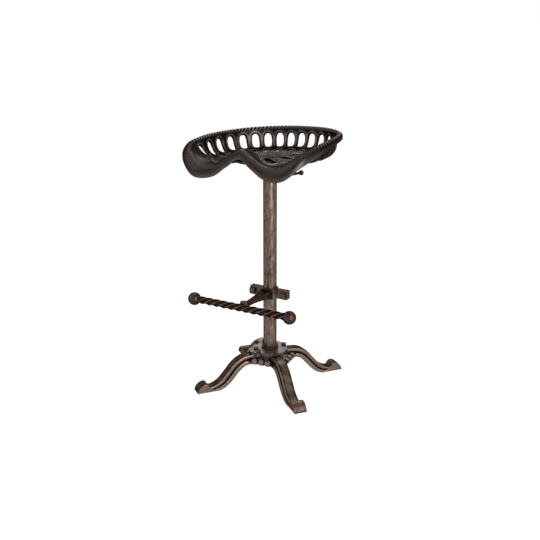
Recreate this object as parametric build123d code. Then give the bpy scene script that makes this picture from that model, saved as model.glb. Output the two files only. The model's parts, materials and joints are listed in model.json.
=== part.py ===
from build123d import *
import math
import os

# Tractor seat stool: a pierced cast seat pan swivels on a spindle, the spindle's post slides in a
# pipe column, and the column stands on four cast legs under a lobed hub plate. A clamped footrest
# carries a twisted bar with ball ends. Millimetres, +Z up, the column's axis through the origin,
# the floor at z = 0, the front of the seat towards -Y.

# ---- base: legs ----
LEG_NAMES = ("leg_back_right", "leg_back_left", "leg_front_left", "leg_front_right")
BRACE_NAMES = ("brace_back", "brace_left", "brace_front", "brace_right")
FIRST_LEG_ANGLE = 45.0
BASE_TURN = 5.65            # the base is turned this far from the square of the seat and footrest
LEG_WIDTH = 34.0
LEG_ROOT = 30.0             # radius of the flat root face
LEG_TOP = 104.0
LEG_ROOT_DEPTH = 32.0
HEEL_RADIUS = 177.2
TOE_RADIUS = 251.7
TOE_WIDTH = 40.4
TOE_HEIGHT = 27.5
TOE_CREST_RADIUS = 222.0
FOOT_THICKNESS = 13.0
FLUTE_DEPTH = 2.6
FLUTES = ((0.21, 0.33), (0.52, 0.63))    # upper and lower edge, as shares of the leg's depth
TOP_HOLLOW_WIDTH = 17.0
TOP_HOLLOW_DEPTH = 1.5
# the curve of the leg's top and bottom edges, as (radius, height)
LEG_TOP_CURVE = ((70, 0.0), (100, -4.5), (128, -22.0), (152, -49.0), (174, -73.5), (194, -86.0))
LEG_UNDER_CURVE = ((60, 74.0), (84, 76.5), (101, 70.5), (120, 54.5), (140, 30.0), (159, 10.5))

# ---- base: hub ----
FIT = 0.1                   # clearance of parts that slip over or between each other
HUB_HALF = LEG_ROOT
HUB_FLANGE_RADIUS = 46.0
HUB_FLANGE_THICKNESS = 11.0
PLATE_THICKNESS = 10.0
PLATE_RADIUS = 56.0
EAR_RADIUS = 22.0
BACK_EAR_REACH = 84.0
LEFT_EAR_REACH = 72.0
EAR_BOLTS = ((169.0, 59.0), (258.0, 55.0))     # angle and radius of the two bolts with nuts
EAR_BOLT_LAND = 12.0
LEG_BOLT_RADIUS = 48.0
BOLT_SHANK = 8.0
BOLT_HEAD = 15.0
BOLT_HEAD_HEIGHT = 6.0
LEG_BOLT_DEPTH = 22.0
FOOT_COLLAR_RADIUS = 27.0
FOOT_COLLAR_HEIGHT = 8.0
GRUB_DIAMETER = 5.0

# ---- base: beaded braces ----
BRACE_OFFSET = 68.0         # distance of the brace from the column's axis
BRACE_HEIGHT = 87.0
BRACE_CORE = 6.0
BEAD_RADIUS = 9.6
BEAD_PITCH = 22.0
BEAD_LENGTH = 20.0
BEAD_COUNT = 3

# ---- column ----
COLUMN_RADIUS = 21.2
COLUMN_WALL = 3.2
COLUMN_FOOT = 80.0
COLUMN_TOP = 692.0

# ---- lock collar and lever ----
LOCK_COLLAR_RADIUS = 27.0
LOCK_COLLAR_HEIGHT = 26.0
LOCK_COLLAR_LIP = 4.0
LOCK_ANGLE = -21.0
LOCK_HEIGHT = 684.0
LOCK_BOSS_RADIUS = 10.0
LOCK_BOSS_REACH = 41.0
LOCK_SCREW_DIAMETER = 10.0
LEVER_HEAD_RADIUS = 9.0
LEVER_HEAD_LENGTH = 17.0
LEVER_HEAD_CENTRE = 57.0
LEVER_LENGTH = 75.0
LEVER_ROD = 8.0
LEVER_BALL = 15.5

# ---- inner post and swivel ----
POST_RADIUS = 16.85
POST_WALL = 3.0
POST_FOOT = 400.0
POST_TRAVEL = 150.0
BUSH_LENGTH = 40.0
POST_CAP_RADIUS = 20.0
POST_CAP_THICKNESS = 5.0
POST_CAP_PLUG = 25.0
STOP_GAP = 0.3
SPINDLE_DIAMETER = 16.0
THRUST_WASHER = 2.0
HUB_BUSH_WALL = 3.0
HUB_SLEEVE_RADIUS = 15.5
RING_THICKNESS = 1.6
RING_RADIUS = 11.5
RING_POCKET_RADIUS = 14.0
RING_POCKET_DEPTH = 6.0

# ---- seat ----
SEAT_FLOOR = 734.0          # top of the pan's floor at the column's axis
SEAT_LEAN = 2.6             # the pan is bolted this many degrees out of level, its left side lower
PAN_THICKNESS = 5.5
PAD_RADIUS = 32.0
PAD_RISE = 1.2
PAD_START = 22.0
ROLL_END = -88.0            # slope at which the rolled rim ends
# stations round half of the rim, from the front to the back: angle from the front, reach and
# height of the crest, slope of the wall below the roll, radius of the roll, length of the lip,
# and, as shares of the reach, how far out the floor stays level and how soon the wall straightens
RIM_STATIONS = (
    (0, 164, 783, 5, 18, 8, 0.28, 0.30),
    (12, 171, 765, 2, 24, 8, 0.42, 0.24),
    (24, 187, 742, 0, 27, 10, 0.62, 0.14),
    (36, 222, 740, -5, 26, 10, 0.75, 0.12),
    (48, 243, 770, 25, 19, 10, 0.80, 0.25),
    (60, 236, 787, 50, 16, 9, 0.85, 0.30),
    (76, 217, 795, 72, 12.5, 8, 0.94, 0.33),
    (96, 208, 798, 81, 10, 7, 0.98, 0.34),
    (120, 209, 798.5, 83, 10, 6, 1.0, 0.34),
    (150, 210, 799, 83, 10.5, 5, 1.0, 0.34),
    (180, 203, 800, 83, 10.5, 5, 1.0, 0.34),
)
SECTION_STEP = 12

# ---- seat piercing ----
WALL_SLOT_ANGLES = (5.6, 16.7, 28.1, 39.8, 52.2, 65.6, 80.4, 95.4, 111.6)   # from the back
WALL_SLOT_TURN = 2.4        # the ring of wall slots is cast this far round to the left
WALL_SLOT_WIDTH = 23.0
WALL_SLOT_LENGTH = 44.0
WALL_SLOT_MARGIN = 13.0     # from the start of the roll
# leaf-shaped floor slots of the right half: middle and radius of the inner end, then of the outer
INNER_LEAVES = (
    (10, -48, 8.5, 66, -108, 13.0),
    (46, -6, 9.5, 91, -32, 4.5),
    (42, 37, 5.0, 92, 17, 5.5),
    (31, 61, 4.5, 86, 45, 6.0),
    (12, 75, 4.0, 52, 78, 5.0),
    (105, -118, 7.0, 114, -72, 3.5),
)
# leaf-shaped slots near the foot of the wall: angle from +X, inner and outer radius, width
OUTER_LEAVES = (
    (-14, 118, 158, 13),
    (4, 118, 158, 13),
    (21, 114, 156, 13),
    (38, 110, 152, 13),
    (55, 106, 150, 12),
    (72, 100, 148, 12),
)
CENTRE_BACK_SLOT = (100, 146, 12)

# ---- seat hub ----
HUB_PAD_THICKNESS = 9.0
SEAT_BOLT_CIRCLE = 24.5
SEAT_BOLT_ANGLES = (45.0, 135.0, 225.0, 315.0)
SEAT_BOLT_SHANK = 6.0
SEAT_BOLT_HEAD = 11.0
SEAT_BOLT_DOME = 2.6
SEAT_NUT = 10.0
SEAT_NUT_HEIGHT = 5.0

# ---- footrest ----
CLAMP_HEIGHT = 304.0        # mid height of the clamp
CLAMP_DEPTH = 32.0
CLAMP_WALL = 9.0
STRAP_WALL = 6.0
STRAP_DEPTH = 28.0
CLAMP_GAP = 2.0
EAR_REACH = 66.0
EAR_THICKNESS = 11.0
STRAP_EAR_THICKNESS = 8.0
CLAMP_BOLT_OFFSET = 54.0
CLAMP_BOLT_SHANK = 8.0
CLAMP_BOLT_HEAD = 18.0
CLAMP_BOLT_HEAD_HEIGHT = 9.0
CLAMP_NUT = 14.0
CLAMP_NUT_HEIGHT = 7.0
BAR_FORWARD = 181.0
BAR_HEIGHT = 309.7
BAR_SIDE = 18.4
BAR_EDGE = 2.0              # radius of the square bar's worn edges
BAR_BED_RADIUS = 12.4       # hollow in the arm's boss that the bar's edges lie in
BAR_LEAD = 103.0            # length of one full turn of the twist
BALL_OFFSET = 164.2
BALL_RADIUS = 20.1
BALL_FLAT = 15.8            # distance of the ball's flat from its centre
ARM_ROOT_WIDTH = 44.0
ARM_ROOT_DEPTH = 28.0
ARM_WAIST = 76.0            # distance of the arm's waist in front of the column's axis
ARM_WAIST_WIDTH = 27.0
ARM_WAIST_DEPTH = 17.0
ARM_WAIST_HEIGHT = 307.0
ARM_TIP_WIDTH = 20.0
ARM_TIP_DEPTH = 13.0
ARM_TIP_HEIGHT = 310.5
ARM_CORNER = 4.0
ARM_BOSS_RADIUS = 10.5
ARM_BOSS_HEIGHT = 26.0
ARM_HOLLOW_START = 36.0
ARM_HOLLOW_DEPTH = 3.0

OVERSHOOT = 2.0             # how far cutting tools run past what they cut
FROM_BOTTOM = (Align.CENTER, Align.CENTER, Align.MIN)


# ---- small helpers ----
def disc(radius, bottom, top):
    """Upright cylinder on the column's axis."""
    return Pos(0, 0, bottom) * Cylinder(radius, top - bottom, align=FROM_BOTTOM)


def tube(outer, inner, bottom, top):
    """Upright tube on the column's axis."""
    return disc(outer, bottom, top) - disc(inner, bottom - OVERSHOOT, top + OVERSHOOT)


def hexagon(across_flats, bottom, top):
    """Upright hexagonal prism on the column's axis."""
    outline = RegularPolygon(across_flats / 2, 6, major_radius=False)
    return extrude(Pos(0, 0, bottom) * outline, top - bottom)


def polar(angle, radius):
    """Point at an angle in degrees from +X."""
    return radius * math.cos(math.radians(angle)), radius * math.sin(math.radians(angle))


def placed_at(shape, angle, radius):
    """The shape moved off the axis to an angle and radius."""
    x, y = polar(angle, radius)
    return Pos(x, y, 0) * shape


def save(name, *solids):
    """Write one sub-part, which may be several separate solids."""
    shape = solids[0] if len(solids) == 1 else Compound(children=list(solids))
    export_step(shape, f"parts/{name}.step")


# ---- legs ----
def leg_edges():
    """Top and bottom edges of the leg's side view, as points in (radius, height)."""
    top = [(LEG_ROOT, LEG_TOP)]
    top += [(radius, LEG_TOP + drop) for radius, drop in LEG_TOP_CURVE]
    top.append((TOE_CREST_RADIUS - 9, FOOT_THICKNESS))
    under = [(LEG_ROOT, LEG_TOP - LEG_ROOT_DEPTH)]
    under += list(LEG_UNDER_CURVE)
    under.append((HEEL_RADIUS, 0))
    return top, under


def side_band(first, second, width):
    """Solid between two edge curves of the side view, extruded evenly about the leg's plane."""
    upper = Spline(*first)
    lower = Spline(*second)
    wire = Wire([upper, Line(first[-1], second[-1]), lower, Line(second[0], first[0])])
    face = Plane.XZ * make_face(wire)
    return extrude(face, width / 2, both=True)


def blended(top, under, share):
    """Curve part of the way from the top edge to the bottom edge."""
    return [(a[0] + (b[0] - a[0]) * share, a[1] + (b[1] - a[1]) * share) for a, b in zip(top, under)]


def toe():
    """The foot: a flat sole and a quarter-round toe with a step behind it."""
    crest = (TOE_CREST_RADIUS, TOE_HEIGHT)
    tip = (TOE_RADIUS, 0)
    rise = TOE_RADIUS - TOE_CREST_RADIUS
    middle = (TOE_CREST_RADIUS + rise * 0.75, TOE_HEIGHT * 0.66)
    step_top = (TOE_CREST_RADIUS - 6, TOE_HEIGHT - 4)
    step_foot = (TOE_CREST_RADIUS - 8, FOOT_THICKNESS)
    start = (TOE_CREST_RADIUS - 26, FOOT_THICKNESS)
    outline = Wire([
        Line((HEEL_RADIUS, 0), tip),
        ThreePointArc(tip, middle, crest),
        Line(crest, step_top),
        Line(step_top, step_foot),
        Line(step_foot, start),
        Line(start, (HEEL_RADIUS, 0)),
    ])
    block = extrude(Plane.XZ * make_face(outline), TOE_WIDTH / 2, both=True)
    waist = Pos(HEEL_RADIUS, 0, 0) * Box(2 * (TOE_CREST_RADIUS - 16 - HEEL_RADIUS), TOE_WIDTH + 2, 80)
    core = Pos(HEEL_RADIUS, 0, 0) * Box(2 * (TOE_CREST_RADIUS - 16 - HEEL_RADIUS), LEG_WIDTH, 80)
    return block - (waist - core)


def leg():
    """One cast leg along +X: an S-shaped bar with fluted sides and a hollowed top."""
    top, under = leg_edges()
    body = side_band(top, under, LEG_WIDTH)
    body += toe()
    core = Box(4 * TOE_RADIUS, LEG_WIDTH - 2 * FLUTE_DEPTH, 4 * LEG_TOP)
    for upper, lower in FLUTES:
        flute_top = blended(top, under, upper)[2:]
        flute_under = blended(top, under, lower)[2:]
        body -= side_band(flute_top, flute_under, LEG_WIDTH + 2 * OVERSHOOT) - core
    hollow_top = [(x, z + 6) for x, z in top][2:-1]
    hollow_under = [(x - 1, z - TOP_HOLLOW_DEPTH) for x, z in top][2:-1]
    body -= side_band(hollow_top, hollow_under, TOP_HOLLOW_WIDTH)
    body -= disc(TOE_RADIUS, LEG_TOP, LEG_TOP + LEG_WIDTH)
    hole = disc(BOLT_SHANK / 2, LEG_TOP - LEG_BOLT_DEPTH, LEG_TOP + OVERSHOOT)
    return body - Pos(LEG_BOLT_RADIUS, 0, 0) * hole


def bead():
    """One barrel-shaped bead about the upright axis."""
    half = BEAD_LENGTH / 2
    outline = Wire([
        Line((0, half), (BRACE_CORE - 1, half)),
        ThreePointArc((BRACE_CORE - 1, half), (BEAD_RADIUS, 0), (BRACE_CORE - 1, -half)),
        Line((BRACE_CORE - 1, -half), (0, -half)),
        Line((0, -half), (0, half)),
    ])
    return revolve(Plane.XZ * make_face(outline), Axis.Z)


def brace():
    """One beaded brace along Y at its distance from the axis, cut to the sides of the legs."""
    half = BRACE_OFFSET - LEG_WIDTH / 2 * math.sqrt(2)
    reach = half + LEG_WIDTH
    bar = Pos(BRACE_OFFSET, 0, BRACE_HEIGHT) * Rot(90, 0, 0) * Cylinder(BRACE_CORE, 2 * reach)
    for index in range(BEAD_COUNT):
        shift = (index - (BEAD_COUNT - 1) / 2) * BEAD_PITCH
        bar += Pos(BRACE_OFFSET, shift, BRACE_HEIGHT) * Rot(90, 0, 0) * bead()
    for side in (-1, 1):
        keep_out = Pos(TOE_RADIUS / 2, 0, BRACE_HEIGHT) * Box(TOE_RADIUS, LEG_WIDTH, LEG_TOP)
        bar -= Rot(0, 0, 45 * side) * keep_out
        beyond = Box(LEG_WIDTH, 2 * reach, LEG_TOP)
        bar -= Pos(BRACE_OFFSET, side * (half + reach), BRACE_HEIGHT) * beyond
    return bar


# ---- hub ----
def hub_block():
    """Square block between the leg roots with a flange in the four corners between the legs."""
    bottom = LEG_TOP - LEG_ROOT_DEPTH
    block = Pos(0, 0, bottom) * Box(2 * HUB_HALF, 2 * HUB_HALF, LEG_ROOT_DEPTH, align=FROM_BOTTOM)
    flange = disc(HUB_FLANGE_RADIUS, LEG_TOP - HUB_FLANGE_THICKNESS, LEG_TOP)
    for quarter in range(2):
        slot = Box(4 * HUB_FLANGE_RADIUS, LEG_WIDTH + 2 * FIT, 4 * LEG_TOP)
        flange -= Rot(0, 0, 90 * quarter) * slot
    block += flange
    block -= disc(COLUMN_RADIUS + FIT, COLUMN_FOOT, LEG_TOP + OVERSHOOT)
    block -= disc(COLUMN_RADIUS - 2 * COLUMN_WALL, bottom - OVERSHOOT, LEG_TOP)
    return Rot(0, 0, FIRST_LEG_ANGLE + BASE_TURN) * block


def bolt_positions():
    """Angles and radii of the bolts into the legs."""
    start = FIRST_LEG_ANGLE + BASE_TURN
    return [(start + 90 * index, LEG_BOLT_RADIUS) for index in range(4)]


def ear(angle, reach):
    """One ear of the hub plate, a tongue with a round end."""
    centre = polar(angle, reach - EAR_RADIUS)
    return make_hull(Circle(EAR_RADIUS * 1.5).edges() + (Pos(*centre) * Circle(EAR_RADIUS)).edges())


def hub_plate():
    """Lobed plate on top of the leg roots, with an ear over two of the legs."""
    start = FIRST_LEG_ANGLE + BASE_TURN
    outline = Circle(PLATE_RADIUS) + ear(start + 90, BACK_EAR_REACH) + ear(start + 180, LEFT_EAR_REACH)
    for angle, radius in EAR_BOLTS:
        outline += Pos(*polar(angle, radius)) * Circle(EAR_BOLT_LAND)
    plate = extrude(Pos(0, 0, LEG_TOP) * outline, PLATE_THICKNESS)
    plate -= disc(COLUMN_RADIUS + FIT, LEG_TOP - OVERSHOOT, LEG_TOP + 2 * PLATE_THICKNESS)
    hole = disc(BOLT_SHANK / 2 + FIT, LEG_TOP - OVERSHOOT, LEG_TOP + 2 * PLATE_THICKNESS)
    for angle, radius in bolt_positions() + list(EAR_BOLTS):
        plate -= placed_at(hole, angle, radius)
    return plate


def leg_bolts():
    """Hexagon bolts through the plate into the legs."""
    seat = LEG_TOP + PLATE_THICKNESS
    bolt = hexagon(BOLT_HEAD, seat, seat + BOLT_HEAD_HEIGHT)
    bolt += disc(BOLT_SHANK / 2, LEG_TOP - LEG_BOLT_DEPTH, seat + BOLT_HEAD_HEIGHT / 2)
    return [placed_at(bolt, angle, radius) for angle, radius in bolt_positions()]


def ear_bolts():
    """Hexagon bolts through the ears, for the nuts below them."""
    seat = LEG_TOP + PLATE_THICKNESS
    bolt = hexagon(BOLT_HEAD, seat, seat + BOLT_HEAD_HEIGHT)
    bolt += disc(BOLT_SHANK / 2, LEG_TOP - 2 * BOLT_HEAD_HEIGHT, seat + BOLT_HEAD_HEIGHT / 2)
    return [placed_at(bolt, angle, radius) for angle, radius in EAR_BOLTS]


def ear_nuts():
    """Nuts under the ears of the plate."""
    nut = hexagon(BOLT_HEAD, LEG_TOP - BOLT_HEAD_HEIGHT, LEG_TOP)
    nut -= disc(BOLT_SHANK / 2, LEG_TOP - 4 * BOLT_HEAD_HEIGHT, LEG_TOP + OVERSHOOT)
    return [placed_at(nut, angle, radius) for angle, radius in EAR_BOLTS]


def foot_collar():
    """Ring at the foot of the column with a threaded hole for its grub screw."""
    bottom = LEG_TOP + PLATE_THICKNESS
    ring = tube(FOOT_COLLAR_RADIUS, COLUMN_RADIUS + FIT, bottom, bottom + FOOT_COLLAR_HEIGHT)
    return ring - grub_screw_shape(GRUB_DIAMETER, OVERSHOOT)


def grub_screw_shape(diameter, excess):
    """Radial cylinder from the column's face to the collar's face, at the lock angle."""
    start = COLUMN_RADIUS + FIT - excess
    length = FOOT_COLLAR_RADIUS - start + excess
    middle = LEG_TOP + PLATE_THICKNESS + FOOT_COLLAR_HEIGHT / 2
    screw = Pos(start + length / 2, 0, middle) * Rot(0, 90, 0) * Cylinder(diameter / 2, length)
    return Rot(0, 0, LOCK_ANGLE) * screw


# ---- column, lock collar, lever ----
def lock_collar():
    """Collar over the top of the column, with a lip on its end and a boss for the lock screw."""
    top = COLUMN_TOP + LOCK_COLLAR_LIP
    collar = disc(LOCK_COLLAR_RADIUS, top - LOCK_COLLAR_HEIGHT, top)
    collar += lock_axis(Cylinder(LOCK_BOSS_RADIUS, LOCK_BOSS_REACH, align=FROM_BOTTOM), 0)
    collar -= disc(COLUMN_RADIUS + FIT, LOCK_HEIGHT - LOCK_COLLAR_HEIGHT, COLUMN_TOP)
    collar -= disc(POST_RADIUS + 2 * FIT, COLUMN_TOP - OVERSHOOT, top + OVERSHOOT)
    return collar - lock_hole()


def lock_axis(shape, distance):
    """The shape, built along +Z, laid along the lock screw's axis from a distance outwards."""
    return Rot(0, 0, LOCK_ANGLE) * Pos(distance, 0, LOCK_HEIGHT) * Rot(0, 90, 0) * shape


def lock_hole():
    """Clearance hole along the lock screw's axis through collar, column and guide bush."""
    return lock_axis(Cylinder(LOCK_SCREW_DIAMETER / 2 + FIT, LOCK_BOSS_REACH * 2, align=FROM_BOTTOM), 0)


def column_tube():
    """The pipe column, drilled at the top for the lock screw."""
    pipe = tube(COLUMN_RADIUS, COLUMN_RADIUS - COLUMN_WALL, COLUMN_FOOT, COLUMN_TOP)
    return pipe - lock_hole()


def guide_bush():
    """Fixed bush in the top of the column that guides the post."""
    bush = tube(COLUMN_RADIUS - COLUMN_WALL, POST_RADIUS + FIT, COLUMN_TOP - BUSH_LENGTH, COLUMN_TOP)
    return bush - lock_hole()


def lock_screw():
    """Screw from just off the post out to the lever's head, with a flat brass-like nose."""
    start = POST_RADIUS + STOP_GAP
    length = LEVER_HEAD_CENTRE + LEVER_HEAD_LENGTH / 2 - start
    screw = lock_axis(Cylinder(LOCK_SCREW_DIAMETER / 2, length, align=FROM_BOTTOM), start)
    return screw


def lever():
    """Eye on the lock screw with a rod to the ball, level at rest."""
    start = LEVER_HEAD_CENTRE - LEVER_HEAD_LENGTH / 2
    head = Cylinder(LEVER_HEAD_RADIUS, LEVER_HEAD_LENGTH, align=FROM_BOTTOM)
    bore = Pos(0, 0, -OVERSHOOT) * Cylinder(
        LOCK_SCREW_DIAMETER / 2, LEVER_HEAD_LENGTH + 2 * OVERSHOOT, align=FROM_BOTTOM)
    rod = Rot(-90, 0, 0) * Cylinder(LEVER_ROD / 2, LEVER_LENGTH - LEVER_BALL / 3, align=FROM_BOTTOM)
    arm = head + Pos(0, 0, LEVER_HEAD_LENGTH / 2) * rod
    return lock_axis(arm - bore, start)


def lever_ball():
    """Ball on the end of the lever's rod, bored for the rod's end."""
    ball = Sphere(LEVER_BALL / 2)
    depth = LEVER_BALL / 3
    ball -= Pos(0, -LEVER_LENGTH, 0) * Rot(-90, 0, 0) * Cylinder(
        LEVER_ROD / 2, LEVER_LENGTH - depth, align=FROM_BOTTOM)
    return lock_axis(Pos(0, LEVER_LENGTH, 0) * ball, LEVER_HEAD_CENTRE)


# ---- post and swivel ----
def swivel_heights():
    """Heights of the post cap's underside, its top, and the underside of the seat hub's sleeve."""
    cap_under = COLUMN_TOP + LOCK_COLLAR_LIP + STOP_GAP
    cap_top = cap_under + POST_CAP_THICKNESS
    return cap_under, cap_top, cap_top + THRUST_WASHER


def inner_post():
    """The sliding post, a pipe that stops at its cap."""
    cap_under = swivel_heights()[0]
    return tube(POST_RADIUS, POST_RADIUS - POST_WALL, POST_FOOT, cap_under)


def post_foot_bush():
    """Bush round the foot of the post that runs in the column."""
    outer = COLUMN_RADIUS - COLUMN_WALL - FIT
    return tube(outer, POST_RADIUS, POST_FOOT, POST_FOOT + BUSH_LENGTH)


def spindle_top():
    """Height of the spindle's end, in the ring pocket of the seat hub."""
    return hub_pad_top() - 1.0


def hub_pad_top():
    """Height of the seat hub's face at the axis, under the pan."""
    return SEAT_FLOOR - PAN_THICKNESS - PAD_RISE


def ring_bottom():
    """Height of the retaining ring's underside."""
    return hub_pad_top() - RING_POCKET_DEPTH + STOP_GAP


def post_cap():
    """Plug in the post with a flange that stops on the collar and the seat's spindle."""
    cap_under, cap_top, _ = swivel_heights()
    cap = disc(POST_RADIUS - POST_WALL, cap_under - POST_CAP_PLUG, cap_under)
    cap += disc(POST_CAP_RADIUS, cap_under, cap_top)
    cap += disc(SPINDLE_DIAMETER / 2, cap_top, spindle_top())
    groove_foot = ring_bottom()
    groove_top = groove_foot + RING_THICKNESS
    return cap - tube(SPINDLE_DIAMETER, SPINDLE_DIAMETER / 2 - 1, groove_foot, groove_top)


def retaining_ring():
    """Ring in the spindle's groove that keeps the seat from lifting off."""
    return tube(RING_RADIUS, SPINDLE_DIAMETER / 2 - 1, ring_bottom(), ring_bottom() + RING_THICKNESS)


def thrust_washer():
    """Washer that carries the seat hub on the post cap."""
    _, cap_top, sleeve_bottom = swivel_heights()
    return tube(HUB_SLEEVE_RADIUS + 1, SPINDLE_DIAMETER / 2 + FIT, cap_top, sleeve_bottom)


def hub_bush():
    """Plain bearing between the spindle and the seat hub."""
    sleeve_bottom = swivel_heights()[2]
    inner = SPINDLE_DIAMETER / 2 + FIT / 2
    return tube(inner + HUB_BUSH_WALL, inner, sleeve_bottom, hub_pad_top() - RING_POCKET_DEPTH)


# ---- seat ----
def leaned(shape):
    """The shape turned with the seat pan about the middle of its floor."""
    return Pos(0, 0, SEAT_FLOOR) * Rot(0, -SEAT_LEAN, 0) * Pos(0, 0, -SEAT_FLOOR) * shape


def rim_values(angle):
    """The seven values of a station, from reach to handle, at an angle from the front."""
    angle = abs((angle + 180) % 360 - 180)
    table = RIM_STATIONS
    mirrored = [(-row[0],) + row[1:] for row in table[1:2]]
    beyond = [(360 - row[0],) + row[1:] for row in table[-2:-1]]
    rows = mirrored + list(table) + beyond
    span = 1
    while rows[span + 1][0] < angle:
        span += 1
    before, low, high, after = rows[span - 1], rows[span], rows[span + 1], rows[span + 2]
    width = high[0] - low[0]
    share = (angle - low[0]) / width
    values = []
    for column in range(1, len(low)):
        step = (high[column] - low[column]) / width
        step_before = (low[column] - before[column]) / (low[0] - before[0])
        step_after = (after[column] - high[column]) / (after[0] - high[0])
        wide_low = low[0] - before[0]
        wide_high = after[0] - high[0]
        slope_low = (step_before * width + step * wide_low) / (width + wide_low) * width
        slope_high = (step * wide_high + step_after * width) / (width + wide_high) * width
        cubic = (
            low[column] * (2 * share ** 3 - 3 * share ** 2 + 1)
            + slope_low * (share ** 3 - 2 * share ** 2 + share)
            + high[column] * (3 * share ** 2 - 2 * share ** 3)
            + slope_high * (share ** 3 - share ** 2)
        )
        values.append(cubic)
    return values


def pan_point(angle, reach, height):
    """Point of the pan at an angle from the front, before the lean."""
    turn = math.radians(angle)
    return Vector(reach * math.sin(turn), -reach * math.cos(turn), height)


def floor_controls(angle, depth):
    """Four control points (reach, height) of the floor and wall curve, a depth under the surface."""
    reach, height, slope, roll, _, flat, handle = rim_values(angle)
    tilt = math.radians(slope)
    end = (reach - roll * math.sin(tilt), height - roll + roll * math.cos(tilt))
    back = handle * end[0]
    near = (end[0] - back * math.cos(tilt), end[1] - back * math.sin(tilt))
    drop = (depth * math.sin(tilt), -depth * math.cos(tilt))
    return [
        (PAD_START, SEAT_FLOOR - depth),
        (flat * end[0], SEAT_FLOOR - depth),
        (near[0] + drop[0], near[1] + drop[1]),
        (end[0] + drop[0], end[1] + drop[1]),
    ]


def pan_section(angle):
    """Closed section of the pan's floor, wall, rolled rim and lip at an angle from the front."""
    reach, height, slope, roll, lip, _, _ = rim_values(angle)
    first = math.radians(slope)
    last = math.radians(ROLL_END)
    middle = (first + last) / 2

    def on_roll(tilt, radius):
        return pan_point(angle, reach - radius * math.sin(tilt), height - roll + radius * math.cos(tilt))

    def on_lip(radius):
        start = on_roll(last, radius)
        return start + pan_point(angle, lip * math.cos(last), lip * math.sin(last))

    inner = roll - PAN_THICKNESS
    top = [pan_point(angle, *point) for point in floor_controls(angle, 0)]
    under = [pan_point(angle, *point) for point in floor_controls(angle, PAN_THICKNESS)]
    return Wire([
        Bezier(*top),
        ThreePointArc(top[-1], on_roll(middle, roll), on_roll(last, roll)),
        Line(on_roll(last, roll), on_lip(roll)),
        Line(on_lip(roll), on_lip(inner)),
        Line(on_lip(inner), on_roll(last, inner)),
        ThreePointArc(on_roll(last, inner), on_roll(middle, inner), under[-1]),
        Bezier(*reversed(under)),
        Line(under[0], top[0]),
    ])


def bezier_point(controls, share):
    """Point of a cubic curve given by four control points."""
    rest = 1 - share
    weights = (rest ** 3, 3 * rest ** 2 * share, 3 * rest * share ** 2, share ** 3)
    return tuple(sum(w * p[axis] for w, p in zip(weights, controls)) for axis in range(2))


def wall_slot(angle_from_back):
    """Cutter of one oval slot in the wall of the pan."""
    angle = 180 - angle_from_back
    controls = floor_controls(angle, 0)
    marks = []
    point = controls[-1]
    length = 0.0
    share = 1.0
    for target in (WALL_SLOT_MARGIN, WALL_SLOT_MARGIN + WALL_SLOT_LENGTH):
        while length < target:
            share -= 0.01
            following = bezier_point(controls, share)
            length += math.dist(point, following)
            point = following
        marks.append(point)
    upper, lower = marks
    along = pan_point(angle, upper[0] - lower[0], upper[1] - lower[1]).normalized()
    across = pan_point(angle + 90, 1, 0)
    centre = pan_point(angle, (upper[0] + lower[0]) / 2, (upper[1] + lower[1]) / 2)
    plane = Plane(origin=centre, x_dir=across, z_dir=across.cross(along))
    length = math.dist(upper, lower)
    outline = RectangleRounded(WALL_SLOT_WIDTH, length, WALL_SLOT_WIDTH * 0.47)
    return extrude(plane * outline, 5 * PAN_THICKNESS, both=True)


def leaf(start, start_radius, end, end_radius):
    """Cutter of one leaf-shaped floor slot between two round ends."""
    outline = make_hull(
        (Pos(*start) * Circle(start_radius)).edges() + (Pos(*end) * Circle(end_radius)).edges())
    return extrude(Pos(0, 0, SEAT_FLOOR) * outline, 8 * PAN_THICKNESS, both=True)


def radial_leaf(inner, outer, width):
    """Cutter of one leaf-shaped floor slot along +X, narrow at its inner end."""
    narrow = width * 0.25
    return leaf((inner + narrow, 0), narrow, (outer - width / 2, 0), width / 2)


def floor_cutters():
    """The leaf-shaped piercings of the right half's floor."""
    cutters = []
    for x, y, radius, end_x, end_y, end_radius in INNER_LEAVES:
        cutters.append(leaf((x, y), radius, (end_x, end_y), end_radius))
    for angle, *sizes in OUTER_LEAVES:
        cutters.append(Rot(0, 0, angle) * radial_leaf(*sizes))
    return cutters


def wall_cutters():
    """The oval piercings of the whole wall."""
    cutters = []
    for side in (-1, 1):
        cutters += [wall_slot(side * angle - WALL_SLOT_TURN) for angle in WALL_SLOT_ANGLES]
    return cutters


def seat_bolt_holes(radius):
    """Upright cylinders at the seat bolts."""
    hole = disc(radius, SEAT_FLOOR - 100, SEAT_FLOOR + 100)
    return [placed_at(hole, angle, SEAT_BOLT_CIRCLE) for angle in SEAT_BOLT_ANGLES]


def seat_pan():
    """The pierced pan with its rolled rim and a pad in the middle."""
    sections = [pan_section(angle) for angle in range(0, 181, SECTION_STEP)]
    half = Solid.make_loft(sections)
    for cutter in floor_cutters():
        half -= cutter
    pan = half + mirror(half, Plane.YZ)
    pan += disc(PAD_RADIUS, SEAT_FLOOR - PAN_THICKNESS - PAD_RISE, SEAT_FLOOR + PAD_RISE)
    pan -= wall_cutters() + [Rot(0, 0, 90) * radial_leaf(*CENTRE_BACK_SLOT)]
    pan -= seat_bolt_holes(SEAT_BOLT_SHANK / 2 + FIT)
    return leaned(pan)


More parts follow.
